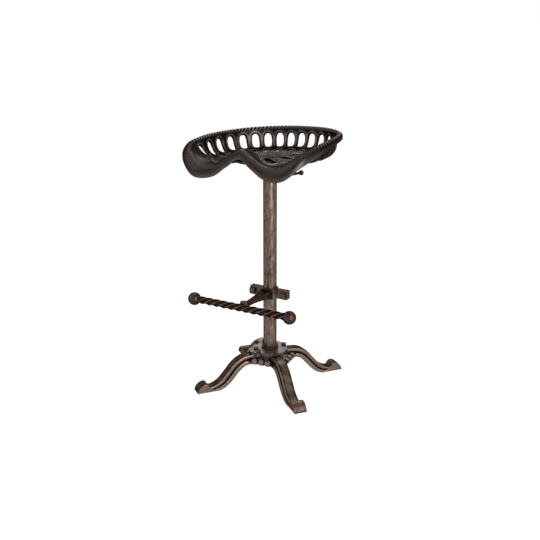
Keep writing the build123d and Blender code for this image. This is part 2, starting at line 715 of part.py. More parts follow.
# ---- seat hub ----
def seat_hub():
    """Cast hub under the pan: an upright sleeve on the spindle and a pad that follows the lean."""
    sleeve_bottom = swivel_heights()[2]
    top = hub_pad_top()
    hub = disc(HUB_SLEEVE_RADIUS, sleeve_bottom, top - HUB_PAD_THICKNESS / 2)
    hub += leaned(disc(PAD_RADIUS, top - HUB_PAD_THICKNESS, top))
    hub -= disc(SPINDLE_DIAMETER / 2 + FIT / 2 + HUB_BUSH_WALL, sleeve_bottom - OVERSHOOT, top)
    hub -= disc(RING_POCKET_RADIUS, top - RING_POCKET_DEPTH, top + 2 * OVERSHOOT)
    for hole in seat_bolt_holes(SEAT_BOLT_SHANK / 2 + FIT):
        hub -= leaned(hole)
    return hub


def seat_bolts():
    """Dome-headed bolts through the floor of the pan and the pad of the hub."""
    seat = SEAT_FLOOR + PAD_RISE
    end = hub_pad_top() - HUB_PAD_THICKNESS - SEAT_NUT_HEIGHT - 1
    dome_radius = (SEAT_BOLT_HEAD ** 2 / 4 + SEAT_BOLT_DOME ** 2) / (2 * SEAT_BOLT_DOME)
    dome = Pos(0, 0, seat + SEAT_BOLT_DOME - dome_radius) * Sphere(dome_radius)
    bolt = dome & disc(SEAT_BOLT_HEAD, seat, seat + SEAT_BOLT_HEAD)
    bolt += disc(SEAT_BOLT_SHANK / 2, end, seat + SEAT_BOLT_DOME / 3)
    return [leaned(placed_at(bolt, angle, SEAT_BOLT_CIRCLE)) for angle in SEAT_BOLT_ANGLES]


def seat_nuts():
    """Nuts under the pad of the seat hub."""
    seat = hub_pad_top() - HUB_PAD_THICKNESS
    nut = hexagon(SEAT_NUT, seat - SEAT_NUT_HEIGHT, seat)
    nut -= disc(SEAT_BOLT_SHANK / 2, seat - 2 * SEAT_NUT, seat + OVERSHOOT)
    return [leaned(placed_at(nut, angle, SEAT_BOLT_CIRCLE)) for angle in SEAT_BOLT_ANGLES]


# ---- footrest ----
def ear_box(near, far, half_depth):
    """Pair of clamp ears between two distances behind the column's axis (negative is in front)."""
    thickness = far - near
    return Pos(0, (near + far) / 2, CLAMP_HEIGHT) * Box(2 * EAR_REACH, thickness, 2 * half_depth)


def clamp_bore():
    """What the column takes out of both halves of the clamp."""
    return disc(COLUMN_RADIUS + FIT, CLAMP_HEIGHT - CLAMP_DEPTH, CLAMP_HEIGHT + CLAMP_DEPTH)


def across(shape, offset, start):
    """The shape, built along +Z, laid along +Y at a sideways offset and starting at a distance."""
    return Pos(offset, start, CLAMP_HEIGHT) * Rot(-90, 0, 0) * shape


def half_space(face, direction):
    """What is cut off one half of the clamp: all beyond a distance behind the axis (+1) or before (-1)."""
    middle = face + direction * EAR_REACH
    return Pos(0, middle, CLAMP_HEIGHT) * Box(4 * EAR_REACH, 2 * EAR_REACH, 2 * CLAMP_DEPTH)


def ear_holes():
    """Bolt holes through both ears of the clamp."""
    hole = Cylinder(CLAMP_BOLT_SHANK / 2 + FIT, 4 * EAR_THICKNESS)
    return [across(hole, side * CLAMP_BOLT_OFFSET, 0) for side in (-1, 1)]


def arm_face(distance, height, width, depth):
    """Rounded section of the arm at a distance in front of the column's axis."""
    return Plane.XZ.offset(distance) * Pos(0, height) * RectangleRounded(width, depth, ARM_CORNER)


def arm():
    """Tapered arm with a hollowed top and an upright boss that the bar is let into."""
    tip = BAR_FORWARD - BAR_BED_RADIUS - ARM_BOSS_RADIUS / 2
    shape = loft([
        arm_face(COLUMN_RADIUS, CLAMP_HEIGHT, ARM_ROOT_WIDTH, ARM_ROOT_DEPTH),
        arm_face(ARM_WAIST, ARM_WAIST_HEIGHT, ARM_WAIST_WIDTH, ARM_WAIST_DEPTH),
        arm_face(tip, ARM_TIP_HEIGHT, ARM_TIP_WIDTH, ARM_TIP_DEPTH),
    ])
    near = Plane.XZ.offset(ARM_HOLLOW_START) * Pos(0, CLAMP_HEIGHT + CLAMP_DEPTH / 2)
    far = Plane.XZ.offset(tip - ARM_BOSS_RADIUS) * Pos(0, ARM_TIP_HEIGHT + ARM_TIP_DEPTH / 2)
    near_depth = CLAMP_DEPTH - ARM_ROOT_DEPTH + 2 * ARM_HOLLOW_DEPTH
    shape -= loft([
        near * Rectangle(ARM_ROOT_WIDTH / 2, near_depth),
        far * Rectangle(ARM_TIP_WIDTH / 2, ARM_HOLLOW_DEPTH),
    ])
    boss = Cylinder(ARM_BOSS_RADIUS, ARM_BOSS_HEIGHT)
    shape += Pos(0, -tip, BAR_HEIGHT + 1) * boss
    bed = Cylinder(BAR_BED_RADIUS, 4 * ARM_TIP_WIDTH)
    return shape - Pos(0, -BAR_FORWARD, BAR_HEIGHT) * Rot(0, 90, 0) * bed


def clamp_front():
    """Front half of the footrest clamp with the arm."""
    low = CLAMP_HEIGHT - CLAMP_DEPTH / 2
    high = CLAMP_HEIGHT + CLAMP_DEPTH / 2
    body = disc(COLUMN_RADIUS + CLAMP_WALL, low, high)
    body += ear_box(-CLAMP_GAP / 2 - EAR_THICKNESS, -CLAMP_GAP / 2, CLAMP_DEPTH / 2 - 2)
    body -= half_space(-CLAMP_GAP / 2, 1)
    body += arm()
    body -= clamp_bore()
    return body - ear_holes()


def clamp_rear():
    """Rear strap of the footrest clamp."""
    low = CLAMP_HEIGHT - STRAP_DEPTH / 2
    high = CLAMP_HEIGHT + STRAP_DEPTH / 2
    body = disc(COLUMN_RADIUS + STRAP_WALL, low, high)
    body += ear_box(CLAMP_GAP / 2, CLAMP_GAP / 2 + STRAP_EAR_THICKNESS, STRAP_DEPTH / 2)
    body -= half_space(CLAMP_GAP / 2, -1)
    body -= clamp_bore()
    return body - ear_holes()


def clamp_bolts():
    """Square-headed bolts through the ears of the clamp, heads in front."""
    seat = -CLAMP_GAP / 2 - EAR_THICKNESS
    end = CLAMP_GAP / 2 + STRAP_EAR_THICKNESS + CLAMP_NUT_HEIGHT + 3
    bolts = []
    for side in (-1, 1):
        head_shape = Box(CLAMP_BOLT_HEAD, CLAMP_BOLT_HEAD, CLAMP_BOLT_HEAD_HEIGHT, align=FROM_BOTTOM)
        bolt = across(head_shape, side * CLAMP_BOLT_OFFSET, seat - CLAMP_BOLT_HEAD_HEIGHT)
        shank = Cylinder(CLAMP_BOLT_SHANK / 2, end - seat + 1, align=FROM_BOTTOM)
        bolts.append(bolt + across(shank, side * CLAMP_BOLT_OFFSET, seat - 1))
    return bolts


def clamp_nuts():
    """Hexagon nuts behind the ears of the strap."""
    seat = CLAMP_GAP / 2 + STRAP_EAR_THICKNESS
    nut = hexagon(CLAMP_NUT, 0, CLAMP_NUT_HEIGHT)
    nut -= disc(CLAMP_BOLT_SHANK / 2, -OVERSHOOT, CLAMP_NUT_HEIGHT + OVERSHOOT)
    return [across(nut, side * CLAMP_BOLT_OFFSET, seat) for side in (-1, 1)]


def footrest_bar():
    """Twisted square bar between the flats of the two balls."""
    half = BALL_OFFSET - BALL_FLAT
    square = RectangleRounded(BAR_SIDE, BAR_SIDE, BAR_EDGE)
    turn = 360 * half / BAR_LEAD
    halves = []
    for side in (-1, 1):
        halves.append(Solid.extrude_linear_with_rotation(
            square.face(), (0, 0, 0), (0, 0, side * half), -side * turn))
    bar = halves[0] + halves[1]
    return Pos(0, -BAR_FORWARD, BAR_HEIGHT) * Rot(0, 90, 0) * bar


def bar_ball(side):
    """Ball on one end of the footrest bar, flat where the bar meets it."""
    ball = Sphere(BALL_RADIUS)
    beyond = Box(2 * BALL_RADIUS, 3 * BALL_RADIUS, 3 * BALL_RADIUS)
    ball -= Pos(-side * (BALL_FLAT + BALL_RADIUS), 0, 0) * beyond
    return Pos(side * BALL_OFFSET, -BAR_FORWARD, BAR_HEIGHT) * ball


def build():
    """Write every sub-part."""
    os.makedirs("parts", exist_ok=True)
    leg_shape = leg()
    brace_shape = brace()
    for index in range(4):
        angle = FIRST_LEG_ANGLE + BASE_TURN + 90 * index
        save(LEG_NAMES[index], Rot(0, 0, angle) * leg_shape)
        save(BRACE_NAMES[index], Rot(0, 0, angle + 45) * brace_shape)
    save("hub_block", hub_block())
    save("hub_plate", hub_plate())
    save("leg_bolts", *leg_bolts())
    save("ear_bolts", *ear_bolts())
    save("ear_nuts", *ear_nuts())
    save("foot_collar", foot_collar())
    save("collar_grub_screw", grub_screw_shape(GRUB_DIAMETER, 0))
    save("column_tube", column_tube())
    save("guide_bush", guide_bush())
    save("lock_collar", lock_collar())
    save("lock_screw", lock_screw())
    save("lever_arm", lever())
    save("lever_ball", lever_ball())
    save("inner_post", inner_post())
    save("post_foot_bush", post_foot_bush())
    save("post_cap", post_cap())
    save("retaining_ring", retaining_ring())
    save("thrust_washer", thrust_washer())
    save("hub_bush", hub_bush())
    save("seat_hub", seat_hub())
    save("seat_pan", seat_pan())
    save("seat_bolts", *seat_bolts())
    save("seat_nuts", *seat_nuts())
    save("clamp_front", clamp_front())
    save("clamp_rear", clamp_rear())
    save("clamp_bolts", *clamp_bolts())
    save("clamp_nuts", *clamp_nuts())
    save("footrest_bar", footrest_bar())
    save("bar_ball_left", bar_ball(-1))
    save("bar_ball_right", bar_ball(1))


if __name__ == "__main__":
    build()
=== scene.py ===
"""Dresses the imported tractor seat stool: cast seat, pipe column, twisted footrest and cast base.

Lengths are in millimetres and angles in degrees, except in the studio, which is in metres.
"""

import json
import logging
import math
from dataclasses import dataclass
from enum import Enum
from functools import cache, partial
from typing import Any, Callable, Sequence

import bmesh
import bpy
import numpy as np
from mathutils import Matrix, Vector
from mathutils.geometry import delaunay_2d_cdt

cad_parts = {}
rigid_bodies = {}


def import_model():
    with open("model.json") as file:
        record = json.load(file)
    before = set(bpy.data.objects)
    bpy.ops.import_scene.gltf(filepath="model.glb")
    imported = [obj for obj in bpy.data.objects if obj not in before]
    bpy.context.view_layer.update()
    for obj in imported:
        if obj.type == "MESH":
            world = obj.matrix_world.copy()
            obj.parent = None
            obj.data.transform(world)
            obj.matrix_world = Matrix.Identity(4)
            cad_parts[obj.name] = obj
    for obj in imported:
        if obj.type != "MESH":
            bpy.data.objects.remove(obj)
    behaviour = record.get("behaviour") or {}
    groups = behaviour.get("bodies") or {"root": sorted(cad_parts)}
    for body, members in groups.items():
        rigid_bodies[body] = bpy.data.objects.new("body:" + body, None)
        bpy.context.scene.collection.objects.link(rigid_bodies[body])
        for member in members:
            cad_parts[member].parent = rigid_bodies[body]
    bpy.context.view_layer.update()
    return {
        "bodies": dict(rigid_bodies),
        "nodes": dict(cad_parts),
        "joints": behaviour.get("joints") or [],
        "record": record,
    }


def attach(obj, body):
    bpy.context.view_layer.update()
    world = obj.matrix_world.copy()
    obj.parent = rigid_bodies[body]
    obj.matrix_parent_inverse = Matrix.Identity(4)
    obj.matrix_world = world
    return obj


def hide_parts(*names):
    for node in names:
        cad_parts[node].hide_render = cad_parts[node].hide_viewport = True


LOG = logging.getLogger("stool")
MM = 0.001
NOISE = (0.3, 0.7)      # nearly all of a noise pattern lies in this range
Range = tuple[float, float]
Rows = tuple[tuple[float, ...], ...]
SEAT_HEIGHT = 734.0     # of the seat's floor, where the lean of the seat turns
SEAT_LEAN = 2.6


# ---------------------------------------------------------------- colours and nodes
def linear(colour: str) -> tuple[float, float, float, float]:
    """Turns an sRGB hex colour into linear light.

    Args:
        colour: Six hex digits after a hash sign.

    Returns:
        Red, green, blue and an alpha of 1.
    """
    levels = [int(colour[i:i + 2], 16) / 255 for i in (1, 3, 5)]
    light = [v / 12.92 if v <= 0.04045 else ((v + 0.055) / 1.055) ** 2.4 for v in levels]
    return (light[0], light[1], light[2], 1.0)


def per_metre(millimetres: float) -> float:
    """Returns the texture scale at which one feature measures this many millimetres."""
    return 1000.0 / millimetres


def output_of(source: Any) -> bpy.types.NodeSocket:
    """Returns the socket itself, or the first output in use of a node."""
    if isinstance(source, bpy.types.NodeSocket):
        return source
    return next(socket for socket in source.outputs if socket.enabled)


def add_node(tree: bpy.types.NodeTree, kind: str, inputs: Any = (), **settings: Any) -> bpy.types.Node:
    """Adds one node with its settings and links.

    Args:
        tree: The node tree that takes it.
        kind: Blender's name of the node's type, without ShaderNode.
        inputs: Values to set, or sockets or nodes to link, in the order of the node's inputs or
            by their names or numbers.
        settings: Attributes of the node; stops is a colour ramp's list of (place, colour).

    Returns:
        The new node.
    """
    made = tree.nodes.new("ShaderNode" + kind)
    for name, value in settings.items():
        if name == "stops":
            elements = made.color_ramp.elements
            while len(elements) < len(value):
                elements.new(0.5)
            for element, (place, colour) in zip(elements, value):
                element.position = place
                element.color = colour
        else:
            setattr(made, name, value)
    for key, value in inputs.items() if isinstance(inputs, dict) else enumerate(inputs):
        if isinstance(value, (bpy.types.Node, bpy.types.NodeSocket)):
            tree.links.new(output_of(value), made.inputs[key])
        else:
            made.inputs[key].default_value = value
    return made


def grey(level: float) -> tuple[float, float, float, float]:
    """Returns an even grey, as linear light."""
    return (level, level, level, 1.0)


class Coat:
    """A material in the making: its node tree, its shader and the place on the piece."""

    def __init__(self, name: str) -> None:
        """Starts the material.

        Args:
            name: Its name, which says what it is and how its surface was made.
        """
        self.material = bpy.data.materials.new(name)
        self.material.use_nodes = True
        self.tree = self.material.node_tree
        self.shader = self.tree.nodes["Principled BSDF"]
        self.add: Callable[..., bpy.types.Node] = partial(add_node, self.tree)
        self.place = self.add("TexCoord").outputs["Object"]

    def dress(self, patterns: dict[str, bpy.types.Node], metallic: float,
              glancing: str = "#ffffff") -> bpy.types.Material:
        """Joins the patterns to the shader.

        Args:
            patterns: The node that drives each of the shader's inputs.
            metallic: The shader's metallic, which is the same all over.
            glancing: Hex colour of the gloss at a grazing angle.

        Returns:
            The finished material.
        """
        for key, source in patterns.items():
            self.tree.links.new(output_of(source), self.shader.inputs[key])
        self.shader.inputs["Metallic"].default_value = metallic
        self.shader.inputs["Specular Tint"].default_value = linear(glancing)
        return self.material


@dataclass(frozen=True)
class CastPatina:
    """Cast iron or forged steel with a rubbed antique wash, dark in the hollows and pale on the edges."""

    name: str
    dark: str
    wash: str
    worn: str
    wash_share: float
    wear_share: float
    metallic: float
    roughness: float
    glancing: str = "#8c8075"   # colour at grazing angles, where bare metal would go white
    painted_side_shade: float = 1.0     # painted shade on the upright faces: how light they stay
    blotch_mm: float = 16.0     # clouds of the hand-wiped wash
    grain_mm: float = 1.6       # sand grain, drawn about four times as coarse as it is
    grain_depth_mm: float = 0.25    # height of the grains
    cloud: Range = (0.38, 0.62)     # noise from the clear parts of the wash to its clouds
    clear_share: float = 0.25       # wash between the clouds, as a share of that in them
    ridge: Range = (0.515, 0.6)     # pointiness from a flat to a sharp ridge
    ridge_wear: float = 0.6
    patch: Range = (0.35, 0.65)     # noise from the missed to the rubbed patches
    missed_share: float = 0.35      # rubbing that the missed patches have
    hollow: Range = (0.40, 0.49)    # pointiness from a deep hollow to a flat
    hollow_shade: float = 0.35
    facing_up: Range = (0.3, 0.9)   # rise of the normal from upright faces to level ones, for the painted side shade

    def build(self) -> bpy.types.Material:
        """Makes the node material.

        Returns:
            The material.
        """
        coat = Coat(self.name)
        add = coat.add
        blotch, fine, grain = (
            add("TexNoise", {"Vector": coat.place, "Scale": per_metre(size), "Detail": detail, "Roughness": rough})
            for size, detail, rough in ((self.blotch_mm, 5.0, 0.6), (self.blotch_mm / 5, 4.0, 0.7),
                                        (self.grain_mm, 3.0, 0.6)))
        wash_mark, wear_mark = (add("Attribute", attribute_name=mark).outputs["Fac"] for mark in ("wash", "wear"))
        geometry = add("NewGeometry").outputs
        # MapRange takes a value, its range and the range that it becomes
        blotched = add("MapRange", (blotch, *self.cloud, self.clear_share * self.wash_share, self.wash_share))
        wash = add("Math", (blotched, wash_mark), operation="ADD", use_clamp=True)
        washed = add("Mix", {"Factor": wash, 6: linear(self.dark), 7: linear(self.wash)}, data_type="RGBA")
        convex = add("MapRange", (geometry["Pointiness"], *self.ridge, 0.0, self.ridge_wear))
        rubbed = add("Math", (convex, wear_mark), operation="ADD", use_clamp=True)
        patchy = add("MapRange", (fine, *self.patch, self.missed_share, 1.0))
        wear = add("Math", (rubbed, patchy), operation="MULTIPLY")
        worn = add("Math", (wear, self.wear_share), operation="MULTIPLY", use_clamp=True)
        shaded = add("Mix", {"Factor": worn, 6: washed, 7: linear(self.worn)}, data_type="RGBA")
        masks = [add("MapRange", (geometry["Pointiness"], *self.hollow, self.hollow_shade, 1.0))]
        # painted shade: upright faces darker than level ones, as if lit only from above
        if self.painted_side_shade < 1:
            facing = add("SeparateXYZ", (geometry["Normal"],)).outputs["Z"]
            masks.append(add("MapRange", (facing, *self.facing_up, self.painted_side_shade, 1.0)))
        for mask in masks:
            shaded = add("Mix", {"Factor": 1.0, 6: shaded, 7: mask}, data_type="RGBA", blend_type="MULTIPLY")
        rough = add("MapRange", (fine, *NOISE, self.roughness - 0.08, self.roughness + 0.1))
        bump = add("Bump", {"Height": grain, "Distance": self.grain_depth_mm * MM, "Strength": 0.7})
        return coat.dress({"Base Color": shaded, "Roughness": rough, "Normal": bump}, self.metallic, self.glancing)


@dataclass(frozen=True)
class PipePatina:
    """Drawn steel pipe, blackened and rubbed back: a fine grey-brown mottle with reddish stains."""

    name: str
    dark: str
    middle: str
    light: str
    rust: str = "#6b4034"
    roughness: float = 0.34
    metallic: float = 0.9
    glancing: str = "#3d342d"
    streak_mm: float = 7.0      # drawing streaks, longer than wide
    stretch: float = 3.2        # of the streaks along the pipe
    speck_mm: float = 4.0       # pits, drawn about four times as coarse as they are
    stain_mm: float = 30.0      # patches of brown rust
    pit_mm: float = 0.25        # depth of the pits
    tones: tuple[float, ...] = (0.32, 0.47, 0.68)   # noise at dark, middle and light
    stain: Range = (0.54, 0.66)     # noise from clean metal to the middle of a stain
    stain_share: float = 0.38
    pit: Range = (0.34, 0.5)        # noise from the bottom of a pit to its edge
    pit_shade: float = 0.62

    def build(self) -> bpy.types.Material:
        """Makes the node material.

        Returns:
            The material.
        """
        coat = Coat(self.name)
        add = coat.add
        drawn = add("Mapping", {"Vector": coat.place, "Scale": (1.0, 1.0, 1 / self.stretch)})
        streak, speck, stain = (
            add("TexNoise", {"Vector": place, "Scale": per_metre(size), "Detail": detail, "Roughness": rough})
            for place, size, detail, rough in ((drawn, self.streak_mm, 6.0, 0.65),
                                               (coat.place, self.speck_mm, 6.0, 0.7),
                                               (drawn, self.stain_mm, 4.0, 0.6)))
        colours = (linear(self.dark), linear(self.middle), linear(self.light))
        colour = add("ValToRGB", {"Fac": streak}, stops=tuple(zip(self.tones, colours)))
        rusted = add("MapRange", (stain, *self.stain, 0.0, self.stain_share))
        stained = add("Mix", {"Factor": rusted, 6: colour, 7: linear(self.rust)}, data_type="RGBA")
        spots = add("MapRange", (speck, *self.pit, self.pit_shade, 1.0))
        spotted = add("Mix", {"Factor": 1.0, 6: stained, 7: spots}, data_type="RGBA", blend_type="MULTIPLY")
        rough = add("MapRange", (speck, *NOISE, self.roughness + 0.1, self.roughness - 0.08))
        bump = add("Bump", {"Height": speck, "Distance": self.pit_mm * MM, "Strength": 0.6})
        return coat.dress({"Base Color": spotted, "Roughness": rough, "Normal": bump}, self.metallic, self.glancing)


@dataclass(frozen=True)
class TurnedMetal:
    """Turned, drawn or moulded round stock with fine marks round its axis."""

    name: str
    colour: str
    roughness: float = 0.3
    metallic: float = 1.0
    mark_mm: float = 0.8        # tool marks, drawn about four times as coarse as they are
    mark_squeeze: float = 0.08  # of the pattern across the axis, which draws the marks out round it
    mark_shade: float = 0.75

    def build(self) -> bpy.types.Material:
        """Makes the node material.

        Returns:
            The material.
        """
        coat = Coat(self.name)
        flat = coat.add("Mapping", {"Vector": coat.place, "Scale": (self.mark_squeeze, self.mark_squeeze, 1.0)})
        marks = coat.add("TexNoise", {"Vector": flat, "Scale": per_metre(self.mark_mm), "Detail": 3.0})
        tint = coat.add("MapRange", (marks, *NOISE, self.mark_shade, 1.0))
        rough = coat.add("MapRange", (marks, *NOISE, self.roughness - 0.06, self.roughness + 0.1))
        shade = coat.add("Mix", {"Factor": 1.0, 6: linear(self.colour), 7: tint},
                         data_type="RGBA", blend_type="MULTIPLY")
        return coat.dress({"Base Color": shade, "Roughness": rough}, self.metallic)


class Finish(Enum):
    """The finishes of the stool."""

    # nearly black iron wiped back on its ridges: soft grey lines on a dark dish
    SEAT = CastPatina("cast_iron_charcoal_wash", "#12100f", "#40342b", "#978f88", wash_share=0.15,
                      wear_share=0.85, metallic=0.93, roughness=0.36, glancing="#56514c")
    # brown iron with a bronze wash: light edges round dark grooves
    BASE = CastPatina("cast_iron_bronze_wash", "#1c1511", "#68574c", "#a29084", wash_share=0.5,
                      wear_share=0.8, metallic=0.92, roughness=0.38, glancing="#74675c")
    # the plate's top rubbed to grey metal: the palest part of the stool, with painted shade on its upright sides
    PLATE = CastPatina("cast_iron_rubbed_plate_painted_side_shade", "#3f3936", "#8e8582", "#aca39f", wash_share=0.9,
                       wear_share=0.5, metallic=0.9, roughness=0.32, glancing="#b5aca8",
                       painted_side_shade=0.35, blotch_mm=26.0)
    # brown-washed iron: dull and warm
    FOOTREST = CastPatina("cast_iron_brown_wash", "#1f1714", "#56463c", "#93847a", wash_share=0.6,
                          wear_share=0.7, metallic=0.92, roughness=0.36)
    # forged square steel, oiled: red-brown flats under light twisted edges, partly worn metal and partly a painted
    # highlight
    BAR = CastPatina("forged_steel_red_brown", "#1a110f", "#32231f", "#7d6a62", wash_share=0.55,
                     wear_share=0.75, metallic=0.92, roughness=0.36)
    # blackened steel: dark heads with worn corners
    FASTENER = CastPatina("blackened_steel_fastener", "#171210", "#3d322c", "#7d6f63", wash_share=0.5,
                          wear_share=0.7, metallic=0.85, roughness=0.38)
    # flat black and dull: painted shade on the tray under the floor's slots, and the colour of the pad in the
    # middle
    FLAT_BLACK = CastPatina("flat_black_painted_shade", "#080706", "#12100e", "#241f1b", wash_share=0.4,
                     wear_share=0.3, metallic=0.2, roughness=0.8)
    # the column: the brownest and most even surface of the stool, with a soft upright gloss
    PIPE = PipePatina("steel_pipe_rubbed_patina", "#41332a", "#65554a", "#867468")
    # drawn steel: a bright grey post with a silky gloss
    POST = TurnedMetal("drawn_steel_post", "#8b8681")
    # turned brass: a thin yellow line at the bearing
    BRASS = TurnedMetal("turned_brass_bearing", "#b08d4a")
    # moulded nylon: dull black
    NYLON = TurnedMetal("moulded_black_nylon", "#1b1b1b", roughness=0.5, metallic=0.0)

    @cache
    def material(self) -> bpy.types.Material:
        """Returns the finish's material, which is made once."""
        return self.value.build()


# ---------------------------------------------------------------- mesh helpers
def new_object(name: str, data: bpy.types.ID) -> bpy.types.Object:
    """Returns a new object of the scene with this mesh, light or camera."""
    made = bpy.data.objects.new(name, data)
    bpy.context.scene.collection.objects.link(made)
    return made


def turned(axis: str, degrees: float) -> Matrix:
    """Returns a turn about one axis."""
    return Matrix.Rotation(math.radians(degrees), 4, axis)


def leaning() -> Matrix:
    """Returns the lean of the seat, about the middle of its floor."""
    pivot = Matrix.Translation((0, 0, SEAT_HEIGHT))
    return pivot @ turned("Y", -SEAT_LEAN) @ pivot.inverted()


class Shell:
    """Collects the points and faces of one piece, in millimetres, with marks for its material."""

    def __init__(self) -> None:
        """Starts an empty piece."""
        self.points: list[np.ndarray] = []
        self.faces: list[tuple[int, ...]] = []
        self.marks: dict[str, list[np.ndarray]] = {"wear": [], "wash": []}
        self.count = 0

    def add(self, points: np.ndarray, faces: Sequence[tuple[int, ...]], wear: Any = 0.0,
            wash: Any = 0.0) -> None:
        """Adds points and faces.

        Args:
            points: One row per point.
            faces: Point numbers, counted from these points.
            wear: How rubbed the surface is, one number or one per point.
            wash: How much bronze wash it has, one number or one per point.
        """
        first = self.count
        flat = np.asarray(points, float).reshape(-1, 3)
        self.points.append(flat)
        self.faces += [tuple(first + i for i in face) for face in faces]
        for name, value in (("wear", wear), ("wash", wash)):
            self.marks[name].append(np.broadcast_to(np.asarray(value, float).reshape(-1), (len(flat),)))
        self.count += len(flat)

    def grid(self, rows: np.ndarray, close_along: bool = False, caps: bool = False, wear: Any = 0.0,
             wash: Any = 0.0) -> None:
        """Adds a grid of quads whose last column joins the first.

        Args:
            rows: Points as (rows, columns, 3).
            close_along: Whether the last row joins the first.
            caps: Whether the first and last rows are filled.
            wear: As for add.
            wash: As for add.
        """
        long, wide = rows.shape[:2]
        faces: list[tuple[int, ...]] = []
        for i in range(long if close_along else long - 1):
            low, high = i * wide, ((i + 1) % long) * wide
            for j in range(wide):
                k = (j + 1) % wide
                faces.append((low + j, low + k, high + k, high + j))
        if caps:
            faces.append(tuple(range(wide - 1, -1, -1)))
            faces.append(tuple((long - 1) * wide + j for j in range(wide)))
        self.add(rows.reshape(-1, 3), faces, wear, wash)

    def place(self, matrix: Matrix) -> "Shell":
        """Moves all the points by a matrix in millimetres and returns the shell."""
        turn = np.array(matrix, float)
        self.points = [p @ turn[:3, :3].T + turn[:3, 3] for p in self.points]
        return self

    def build(self, name: str, finish: Finish, body: str, slot: str, replaces: Sequence[str] = (),
              smooth: int = 0, sharp: float = 40.0) -> None:
        """Makes the object and puts it on its body.

        Args:
            name: The piece's name.
            finish: Its finish.
            body: The CAD body that carries it.
            slot: The record's material slot; not used.
            replaces: CAD nodes that it stands for.
            smooth: Levels of subdivision.
            sharp: Angle in degrees over which an edge stays sharp.
        """
        mesh = bpy.data.meshes.new(name)
        mesh.from_pydata(np.vstack(self.points) * MM, [], self.faces)
        for key, values in self.marks.items():
            mark = mesh.attributes.new(key, "FLOAT", "POINT")
            mark.data.foreach_set("value", np.concatenate(values).astype(np.float32))
        work = bmesh.new()
        work.from_mesh(mesh)
        bmesh.ops.remove_doubles(work, verts=work.verts, dist=0.02 * MM)
        bmesh.ops.recalc_face_normals(work, faces=work.faces)
        work.to_mesh(mesh)
        work.free()
        mesh.validate()
        mesh.shade_smooth()
        made = new_object(name, mesh)
        mesh.materials.append(finish.material())
        if smooth:
            rounder = made.modifiers.new("rounder", "SUBSURF")
            rounder.levels = rounder.render_levels = smooth
        else:
            mesh.set_sharp_from_angle(angle=math.radians(sharp))
        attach(made, body)
        if replaces:
            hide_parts(*replaces)
        LOG.info("%s: %d points on %s", name, self.count, body)


def ring_angles(count: int) -> np.ndarray:
    """Returns evenly spaced angles of a full turn, in radians."""
    return np.arange(count) * 2 * math.pi / count


def revolved(profile: Sequence[tuple[float, float]], segments: int) -> np.ndarray:
    """Turns a profile about the upright axis.

    Args:
        profile: Radius and height of each point.
        segments: Columns round the axis.

    Returns:
        Points as (rows, columns, 3).
    """
    turn = ring_angles(segments)
    shape = np.asarray(profile, float)
    rows = np.zeros((len(shape), segments, 3))
    rows[..., 0] = shape[:, :1] * np.cos(turn)
    rows[..., 1] = shape[:, :1] * np.sin(turn)
    rows[..., 2] = shape[:, 1:2]
    return rows


def run_along(line: np.ndarray) -> np.ndarray:
    """Returns how far along a line each of its points lies."""
    return np.concatenate([[0], np.cumsum(np.linalg.norm(np.diff(line, axis=0), axis=1))])


def evenly(line: np.ndarray, places: np.ndarray) -> np.ndarray:
    """Returns the points that lie this far along a line."""
    run = run_along(line)
    return np.stack([np.interp(places, run, line[:, k]) for k in range(line.shape[1])], axis=1)


def smooth_line(points: Sequence[Sequence[float]], count: int) -> np.ndarray:
    """Draws an even curve through points.

    Args:
        points: The points it passes through.
        count: How many points come back, evenly spaced.

    Returns:
        The points of the curve.
    """
    p = np.asarray(points, float)
    padded = np.vstack([2 * p[0] - p[1], p, 2 * p[-1] - p[-2]])
    dense = []
    for i in range(1, len(padded) - 2):
        t = np.linspace(0, 1, 24, endpoint=False)[:, None]
        a, b, c, d = padded[i - 1:i + 3]
        dense.append(0.5 * (2 * b + (c - a) * t + (2 * a - 5 * b + 4 * c - d) * t ** 2
                            + (3 * b - a - 3 * c + d) * t ** 3))
    line = np.vstack(dense + [p[-1:]])
    return evenly(line, np.linspace(0, run_along(line)[-1], count))


def unit(vectors: np.ndarray) -> np.ndarray:
    """Returns the vectors at a length of one."""
    return vectors / np.maximum(np.linalg.norm(vectors, axis=-1, keepdims=True), 1e-9)


def swept(path: np.ndarray, side: np.ndarray, up: np.ndarray, section: np.ndarray,
          size: np.ndarray) -> np.ndarray:
    """Sweeps a section along a path.

    Args:
        path: Points along it.
        side: Sideways direction at each point.
        up: Upward direction at each point.
        section: Sideways and upward place of each section point.
        size: Scale of the section at each point.

    Returns:
        Points as (path points, section points, 3).
    """
    scale = size[:, None, None]
    return (path[:, None, :] + scale * side[:, None, :] * section[None, :, :1]
            + scale * up[:, None, :] * section[None, :, 1:2])


def oval(half_width: float, half_height: float, count: int, power: float = 2.0) -> np.ndarray:
    """Draws a rounded section.

    Args:
        half_width: Half of its width.
        half_height: Half of its height.
        count: How many points it has.
        power: Two for an ellipse, and more for fuller corners.

    Returns:
        The points as (count, 2).
    """
    turn = ring_angles(count)
    c, s = np.cos(turn), np.sin(turn)
    return np.stack([half_width * np.sign(c) * np.abs(c) ** (2 / power),
                     half_height * np.sign(s) * np.abs(s) ** (2 / power)], axis=1)


def fade(value: Any, start: float, end: float) -> np.ndarray:
    """Returns a share that runs evenly from 0 at the start to 1 at the end, and stays there."""
    return np.clip((value - start) / (end - start), 0, 1)


def from_front(angle: Any) -> np.ndarray:
    """Returns how many degrees from the front angles lie, on either side."""
    return np.abs((np.asarray(angle, float) + 180) % 360 - 180)


def around(reach: np.ndarray, angle: np.ndarray, *height: np.ndarray) -> np.ndarray:
    """Returns the points at this reach and angle from the front, and at this height if one is given."""
    turn = np.radians(angle)
    return np.stack([reach * np.sin(turn), -reach * np.cos(turn), *height], axis=-1)


